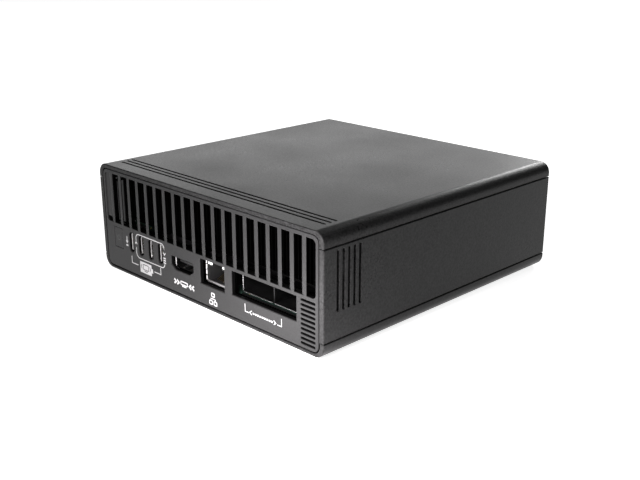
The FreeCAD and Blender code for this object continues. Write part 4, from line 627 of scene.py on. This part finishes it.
def make_marks():
    """All printed marks."""
    makers = {"mark_usb_frame": usb_marks, "mark_power_in": power_in_mark, "mark_display": display_marks,
              "mark_screen": screen_mark, "mark_network": network_mark, "mark_optical": optical_marks}
    for name, maker in makers.items():
        piece(name, maker, FINISHES["marking_ink"])
    piece("mark_display_tab", display_tab_mark, KEY_INK)
    piece("mark_power_key", key_mark, KEY_INK, KEY)


# ---------------------------------------------------------------------------------------------
# Port details
# ---------------------------------------------------------------------------------------------
def usb_contacts(work):
    """Twelve contact strips on each side of the four USB-C tongues."""
    count, pitch, length = 12, 0.5 * MM, 3.6 * MM
    half_width, half_thickness, face = 0.13 * MM, 0.03 * MM, 0.36 * MM
    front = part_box("usb_c_tongues")[1].y - 0.35 * MM
    for shell in USB_SHELLS:
        middle = centre_of(shell)
        for side in (-1, 1):
            for step in range(count):
                level = middle.z + (step - (count - 1) / 2) * pitch
                at = middle.x + side * face
                bevelled_block(work, (at - half_thickness, front - length, level - half_width),
                               (at + half_thickness, front, level + half_width), 0.01 * MM)


def bead(work, path, level, radius, sides=8):
    """A closed round bead through (x, z) points in metres, at a level along Y."""
    points = [Vector(point) for point in path]
    rings = []
    for index, point in enumerate(points):
        ahead = (points[(index + 1) % len(points)] - points[index - 1]).normalized()
        ring = []
        for step in range(sides):
            angle = 2 * math.pi * step / sides
            spot = point + Vector((-ahead.y, ahead.x)) * (radius * math.cos(angle))
            ring.append(work.verts.new((spot.x, level + radius * math.sin(angle), spot.y)))
        rings.append(ring)
    for first, second in zip(rings, rings[1:] + rings[:1]):
        for index in range(sides):
            following = (index + 1) % sides
            work.faces.new((first[index], first[following], second[following], second[index]))


def usb_lips(work):
    """The rolled lips round the mouths of the four USB-C shells."""
    half_wall, bend = 0.15, 1.35
    for shell in USB_SHELLS:
        low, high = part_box(shell)
        x, z = (low.x + high.x) / 2 / MM, (low.z + high.z) / 2 / MM
        reach = (high.x - low.x) / 2 / MM - half_wall
        rise = (high.z - low.z) / 2 / MM - half_wall - bend
        path = arc(x, z + rise, bend, 0, 180, 12) + arc(x, z - rise, bend, 180, 360, 12)
        path = [(x + (u - x) * reach / bend, v) for u, v in path]
        bead(work, [(u * MM, v * MM) for u, v in path], high.y, 0.19 * MM)


def hdmi_lips(work):
    """The rolled lip round the mouth of the HDMI shell, with its sloping lower corners."""
    low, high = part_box("hdmi_shell")
    middle, inset = (low.x + high.x) / 2, 0.17 * MM
    half, foot, shoulder, easing = (high.x - low.x) / 2 - inset, 4.5 * MM, 1.75 * MM, 0.45 * MM
    top, base, bend = high.z - inset, low.z + inset, low.z + shoulder
    path = [(middle + half, top), (middle - half, top), (middle - half, bend),
            (middle - foot, base), (middle + foot, base), (middle + half, bend)]
    eased = []
    for index, point in enumerate(path):
        before, after = Vector(path[index - 1]), Vector(path[(index + 1) % len(path)])
        here = Vector(point)
        eased += [here + (before - here).normalized() * easing, here + (after - here).normalized() * easing]
    bead(work, eased, high.y, 0.24 * MM)


def hdmi_contacts(work):
    """Contact strips under and over the HDMI tongue."""
    low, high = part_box("hdmi_tongue")
    pitch, half_width, half_thickness = 1.0 * MM, 0.22 * MM, 0.04 * MM
    back, front = high.y - 6.0 * MM, high.y - 0.5 * MM
    for level, count in ((low.z, 10), (high.z, 9)):
        for step in range(count):
            x = (low.x + high.x) / 2 + (step - (count - 1) / 2) * pitch
            bevelled_block(work, (x - half_width, back, level - half_thickness),
                           (x + half_width, front, level + half_thickness), 0.02 * MM)


def hdmi_springs(work):
    """Two bowed spring leaves in the floor of the HDMI shell and two in its roof."""
    low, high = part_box("hdmi_shell")
    middle, apart, parts = (low.x + high.x) / 2, 2.6 * MM, 6
    floor, roof = low.z + 1.85 * MM, high.z - 0.35 * MM
    for x in (middle - apart, middle + apart):
        for level, bow in ((floor, 1), (roof, -1)):
            path = [(x, high.y - (0.5 + 4.5 * step / parts) * MM,
                     level + bow * (0.05 + 0.32 * math.sin(math.pi * step / parts)) * MM)
                    for step in range(parts + 1)]
            strip(work, path, (1, 0, 0), 1.3 * MM, 0.12 * MM)


def lan_contacts(work):
    """Eight sprung wires that rise from the floor of the network jack's cavity."""
    low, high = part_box("lan_insert")
    middle, count, pitch, parts = (low.x + high.x) / 2, 8, 1.02 * MM, 12
    mouth, floor = high.y, low.z + 0.4 * MM
    for step in range(count):
        x = middle + (step - (count - 1) / 2) * pitch
        path = []
        for turn in range(parts + 1):
            share = turn / parts
            path.append((x, mouth - (2.6 + 9.6 * share) * MM,
                         floor + (0.25 + 3.0 * share + 0.35 * math.sin(math.pi * share)) * MM))
        strip(work, path, (1, 0, 0), 0.36 * MM, 0.24 * MM)


def lan_springs(work):
    """Earthing tabs that stand forward at the sides and top of the network jack's mouth, and its
    rolled lower lip."""
    low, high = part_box("lan_shell")
    front = high.y
    for x, side in ((low.x, -1), (high.x, 1)):
        for step in range(4):
            z = low.z + (1.9 + 2.5 * step) * MM
            path = [(x + side * bend * MM, front + run * MM, z)
                    for run, bend in ((-0.5, 0.0), (-0.1, 0.02), (0.2, 0.08), (0.4, 0.24))]
            strip(work, path, (0, 0, 1), 2.0 * MM, 0.14 * MM)
    for step in range(3):
        x = low.x + (2.4 + 4.2 * step) * MM
        path = [(x, front + run * MM, high.z + rise * MM)
                for run, rise in ((-0.9, 0.10), (-0.2, 0.11), (0.35, 0.10), (0.7, 0.0))]
        strip(work, path, (1, 0, 0), 2.4 * MM, 0.14 * MM)
    bevelled_block(work, (low.x + 0.1 * MM, front - 0.6 * MM, low.z - 0.05 * MM),
                   (high.x - 0.1 * MM, front + 0.15 * MM, low.z + 0.95 * MM), 0.2 * MM)


def bay_fingers(work):
    """Sprung earthing fingers round the mouths of the two optical bays."""
    low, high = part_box("qsfp_cage")
    front, base = high.y, low.z + 0.4 * MM
    roof, middle, pitch = base + 9.4 * MM, (low.x + high.x) / 2, 1.0 * MM
    bow = ((-2.6, 0.06), (-1.0, 0.24), (0.1, 0.10), (0.45, -0.12), (0.3, -0.36))
    side_bow = ((-2.6, 0.05), (-1.0, 0.22)) + bow[2:]
    for start, end in ((low.x, middle), (middle, high.x)):
        count = int((end - start - 1.0 * MM) / pitch)
        first = (start + end - (count - 1) * pitch) / 2
        for step in range(count):
            x = first + step * pitch
            for level, side in ((base, -1), (roof, 1)):
                path = [(x, front + run * MM, level + side * bend * MM) for run, bend in bow]
                strip(work, path, (1, 0, 0), 0.72 * MM, 0.10 * MM)
    for x, side in ((low.x, -1), (high.x, 1)):
        for step in range(8):
            z = base + (1.0 + 1.05 * step) * MM
            path = [(x + side * bend * MM, front + run * MM, z) for run, bend in side_bow]
            strip(work, path, (0, 0, 1), 0.75 * MM, 0.10 * MM)


def bay_sill(work):
    """The folded edge under the mouths of the optical bays, in front of the board."""
    low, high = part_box("qsfp_cage")
    back, front = high.y + 0.75 * MM, high.y + 1.35 * MM
    bevelled_block(work, (low.x, back, low.z - 1.3 * MM), (high.x, front, low.z + 0.05 * MM), 0.2 * MM)


def bay_contacts(work):
    """Contact rows in the card slots of the two optical connectors."""
    low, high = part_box("qsfp_connectors")
    mouth, middle, slot = high.y, centre_of("qsfp_cage").x, low.z + 2.75 * MM
    count, pitch, half_bay = 19, 0.656 * MM, 9.55 * MM
    half_width, half_thickness = 0.16 * MM, 0.05 * MM
    for side in (-1, 1):
        for step in range(count):
            x = middle + side * half_bay + (step - (count - 1) / 2) * pitch
            for level in (slot, slot + 1.1 * MM):
                bevelled_block(work, (x - half_width, mouth - 2.4 * MM, level - half_thickness),
                               (x + half_width, mouth + 0.03 * MM, level + half_thickness), 0.02 * MM)


def make_port_details():
    """Contacts, springs, rolled lips and the sill of the ports."""
    piece("usb_c_contacts", usb_contacts, FINISHES["contact_gold"])
    piece("hdmi_contacts", hdmi_contacts, FINISHES["contact_gold"])
    piece("usb_c_lips", usb_lips, LIP_STEEL, smooth=True)
    piece("hdmi_lips", hdmi_lips, LIP_STEEL, smooth=True)
    piece("hdmi_springs", hdmi_springs, FINISHES["port_steel"], smooth=True)
    piece("lan_contacts", lan_contacts, FINISHES["contact_gold"], smooth=True)
    piece("lan_springs", lan_springs, LIP_STEEL, smooth=True)
    piece("bay_fingers", bay_fingers, FINGER_STEEL, smooth=True)
    piece("bay_sill", bay_sill, FINISHES["panel_paint"])
    piece("bay_contacts", bay_contacts, FINISHES["contact_gold"])


# ---------------------------------------------------------------------------------------------
# Feet and base screws
# ---------------------------------------------------------------------------------------------
def foot_rings(radius, height):
    """Profile of a moulded foot: a domed rim and three grip grooves in its sole."""
    rings = [(height, 0), (height, radius - 0.1 * MM), (height - 0.1 * MM, radius)]
    rounding = 0.4 * MM
    for step in range(6):
        angle = math.pi / 2 * step / 5
        rings.append((rounding * (1 - math.sin(angle)), radius - rounding * (1 - math.cos(angle))))
    groove, depth = 0.35 * MM, 0.3 * MM
    for share in (0.78, 0.56, 0.34):
        at = radius * share
        rings += [(0, at + groove), (0.06 * MM, at + groove * 0.8), (depth, at + groove * 0.45),
                  (depth, at - groove * 0.45), (0.06 * MM, at - groove * 0.8), (0, at - groove)]
    return rings + [(0, 0)]


def make_feet():
    """A moulded rubber foot in the place of each plain one."""
    for name in ("foot_rear_left", "foot_rear_right", "foot_front_left", "foot_front_right"):
        low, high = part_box(name)
        centre = Vector(((low.x + high.x) / 2, (low.y + high.y) / 2, low.z))
        rings = foot_rings((high.x - low.x) / 2, high.z - low.z)
        made = piece(name + "_pad", lambda work: turned(work, centre, rings, 72),
                     FINISHES["foot_rubber"], smooth=True)
        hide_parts(name)


def star(radius, depth):
    """A six-lobed outline as a radius for each angle."""
    return lambda angle: radius + depth * math.cos(6 * angle)


def screw_rings(head_radius, head_height, thread_radius, length):
    """A pan-head screw seen from its head: domed head, six-lobe recess, thread above."""
    lobe = star(0.95 * MM, 0.16 * MM)
    recess, flat, dome, pitch, groove = 0.85 * MM, 1.5 * MM, 0.45 * MM, 0.45 * MM, 0.16 * MM
    rings = [(recess, 0), (recess, lambda angle: lobe(angle) * 0.92), (0.06 * MM, lobe),
             (0.0, lambda angle: lobe(angle) + 0.06 * MM)]
    for step in range(1, 7):
        angle = math.pi / 2 * step / 6
        rings.append((dome * (1 - math.cos(angle)), flat + (head_radius - flat) * math.sin(angle)))
    rings += [(head_height, head_radius), (head_height, thread_radius)]
    for step in range(int(length / pitch)):
        base = head_height + step * pitch
        rings += [(base + 0.05 * MM, thread_radius - groove), (base + 0.25 * MM, thread_radius)]
    return rings + [(head_height + length, thread_radius - groove), (head_height + length, 0)]


def make_base_screws():
    """Four base screws with six-lobe recesses and threads."""
    low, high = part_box("bottom_screws")
    head_radius, head_height, thread_radius = 2.4 * MM, 1.3 * MM, 1.25 * MM
    rings = screw_rings(head_radius, head_height, thread_radius, high.z - low.z - head_height)

    def fill(work):
        for x in (low.x + head_radius, high.x - head_radius):
            for y in (low.y + head_radius, high.y - head_radius):
                turned(work, Vector((x, y, low.z)), rings, 72)
    made = piece("base_screws", fill, FINISHES["black_steel"], smooth=True)
    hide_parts("bottom_screws")


# ---------------------------------------------------------------------------------------------
# Studio
# ---------------------------------------------------------------------------------------------
def make_floor():
    """A wide round floor."""
    mesh = bpy.data.meshes.new("floor")
    work = bmesh.new()
    bmesh.ops.create_circle(work, cap_ends=True, segments=96, radius=FLOOR_RADIUS)
    work.to_mesh(mesh)
    work.free()
    mesh.materials.append(floor_paint("floor_paint"))
    floor = bpy.data.objects.new("floor", mesh)
    bpy.context.scene.collection.objects.link(floor)
    floor.location.z = CAD_BOX[0].z


def soft_light(name, place, aim, size, power, colour=(1.0, 1.0, 1.0)):
    """A rectangular soft light at a place, facing a point."""
    data = bpy.data.lights.new(name, "AREA")
    data.shape = "RECTANGLE"
    data.size, data.size_y = size
    data.energy = power
    data.color = colour
    lamp = bpy.data.objects.new(name, data)
    lamp.location = place
    lamp.rotation_mode = "QUATERNION"
    lamp.rotation_quaternion = (Vector(aim) - Vector(place)).to_track_quat("-Z", "Y")
    lamp.visible_camera = False
    bpy.context.scene.collection.objects.link(lamp)


def make_world(seen, cast):
    """A white surround: one strength where the camera sees it, another as a light."""
    world = bpy.data.worlds.new("studio")
    bpy.context.scene.world = world
    world.use_nodes = True
    tree = world.node_tree
    tree.nodes.clear()
    ray = tree.nodes.new("ShaderNodeLightPath")
    strength = tree.nodes.new("ShaderNodeMapRange")
    strength.inputs["To Min"].default_value = cast
    strength.inputs["To Max"].default_value = seen
    surround = tree.nodes.new("ShaderNodeBackground")
    out = tree.nodes.new("ShaderNodeOutputWorld")
    tree.links.new(ray.outputs["Is Camera Ray"], strength.inputs["Value"])
    tree.links.new(strength.outputs[0], surround.inputs["Strength"])
    tree.links.new(surround.outputs[0], out.inputs[0])


def make_studio():
    """Floor, surround and lights."""
    make_floor()
    make_world(1.0, 0.16)
    case = (0, 0, 0.05)
    faint_rose = (1.0, 0.965, 0.985)
    soft_light("horizon", (1.19, -1.00, 0.40), case, (2.0, 0.6), 5.8)
    soft_light("front_window", (0.25, -1.10, 0.46), case, (0.5, 0.35), 8.0)
    soft_light("rear_floor", (-0.062, 0.145, 0.047), (-0.054, 0.117, 0.0), (0.08, 0.05), 0.50, faint_rose)
    bpy.context.scene.view_settings.view_transform = "Standard"


def make_camera():
    """The camera, looking along its azimuth and elevation."""
    data = bpy.data.cameras.new("camera")
    data.lens = LENS
    data.sensor_width = 36.0
    data.clip_start = 0.01
    camera = bpy.data.objects.new("camera", data)
    azimuth, elevation = math.radians(CAMERA_AZIMUTH), math.radians(CAMERA_ELEVATION)
    back = Vector((math.sin(azimuth) * math.cos(elevation),
                   -math.cos(azimuth) * math.cos(elevation), math.sin(elevation)))
    camera.location = CAMERA_PLACE
    camera.rotation_mode = "QUATERNION"
    camera.rotation_quaternion = (-back).to_track_quat("-Z", "Y")
    bpy.context.scene.collection.objects.link(camera)
    bpy.context.scene.camera = camera


make_camera()
dress_frame()
make_marks()
make_port_details()
make_feet()
make_base_screws()
make_studio()
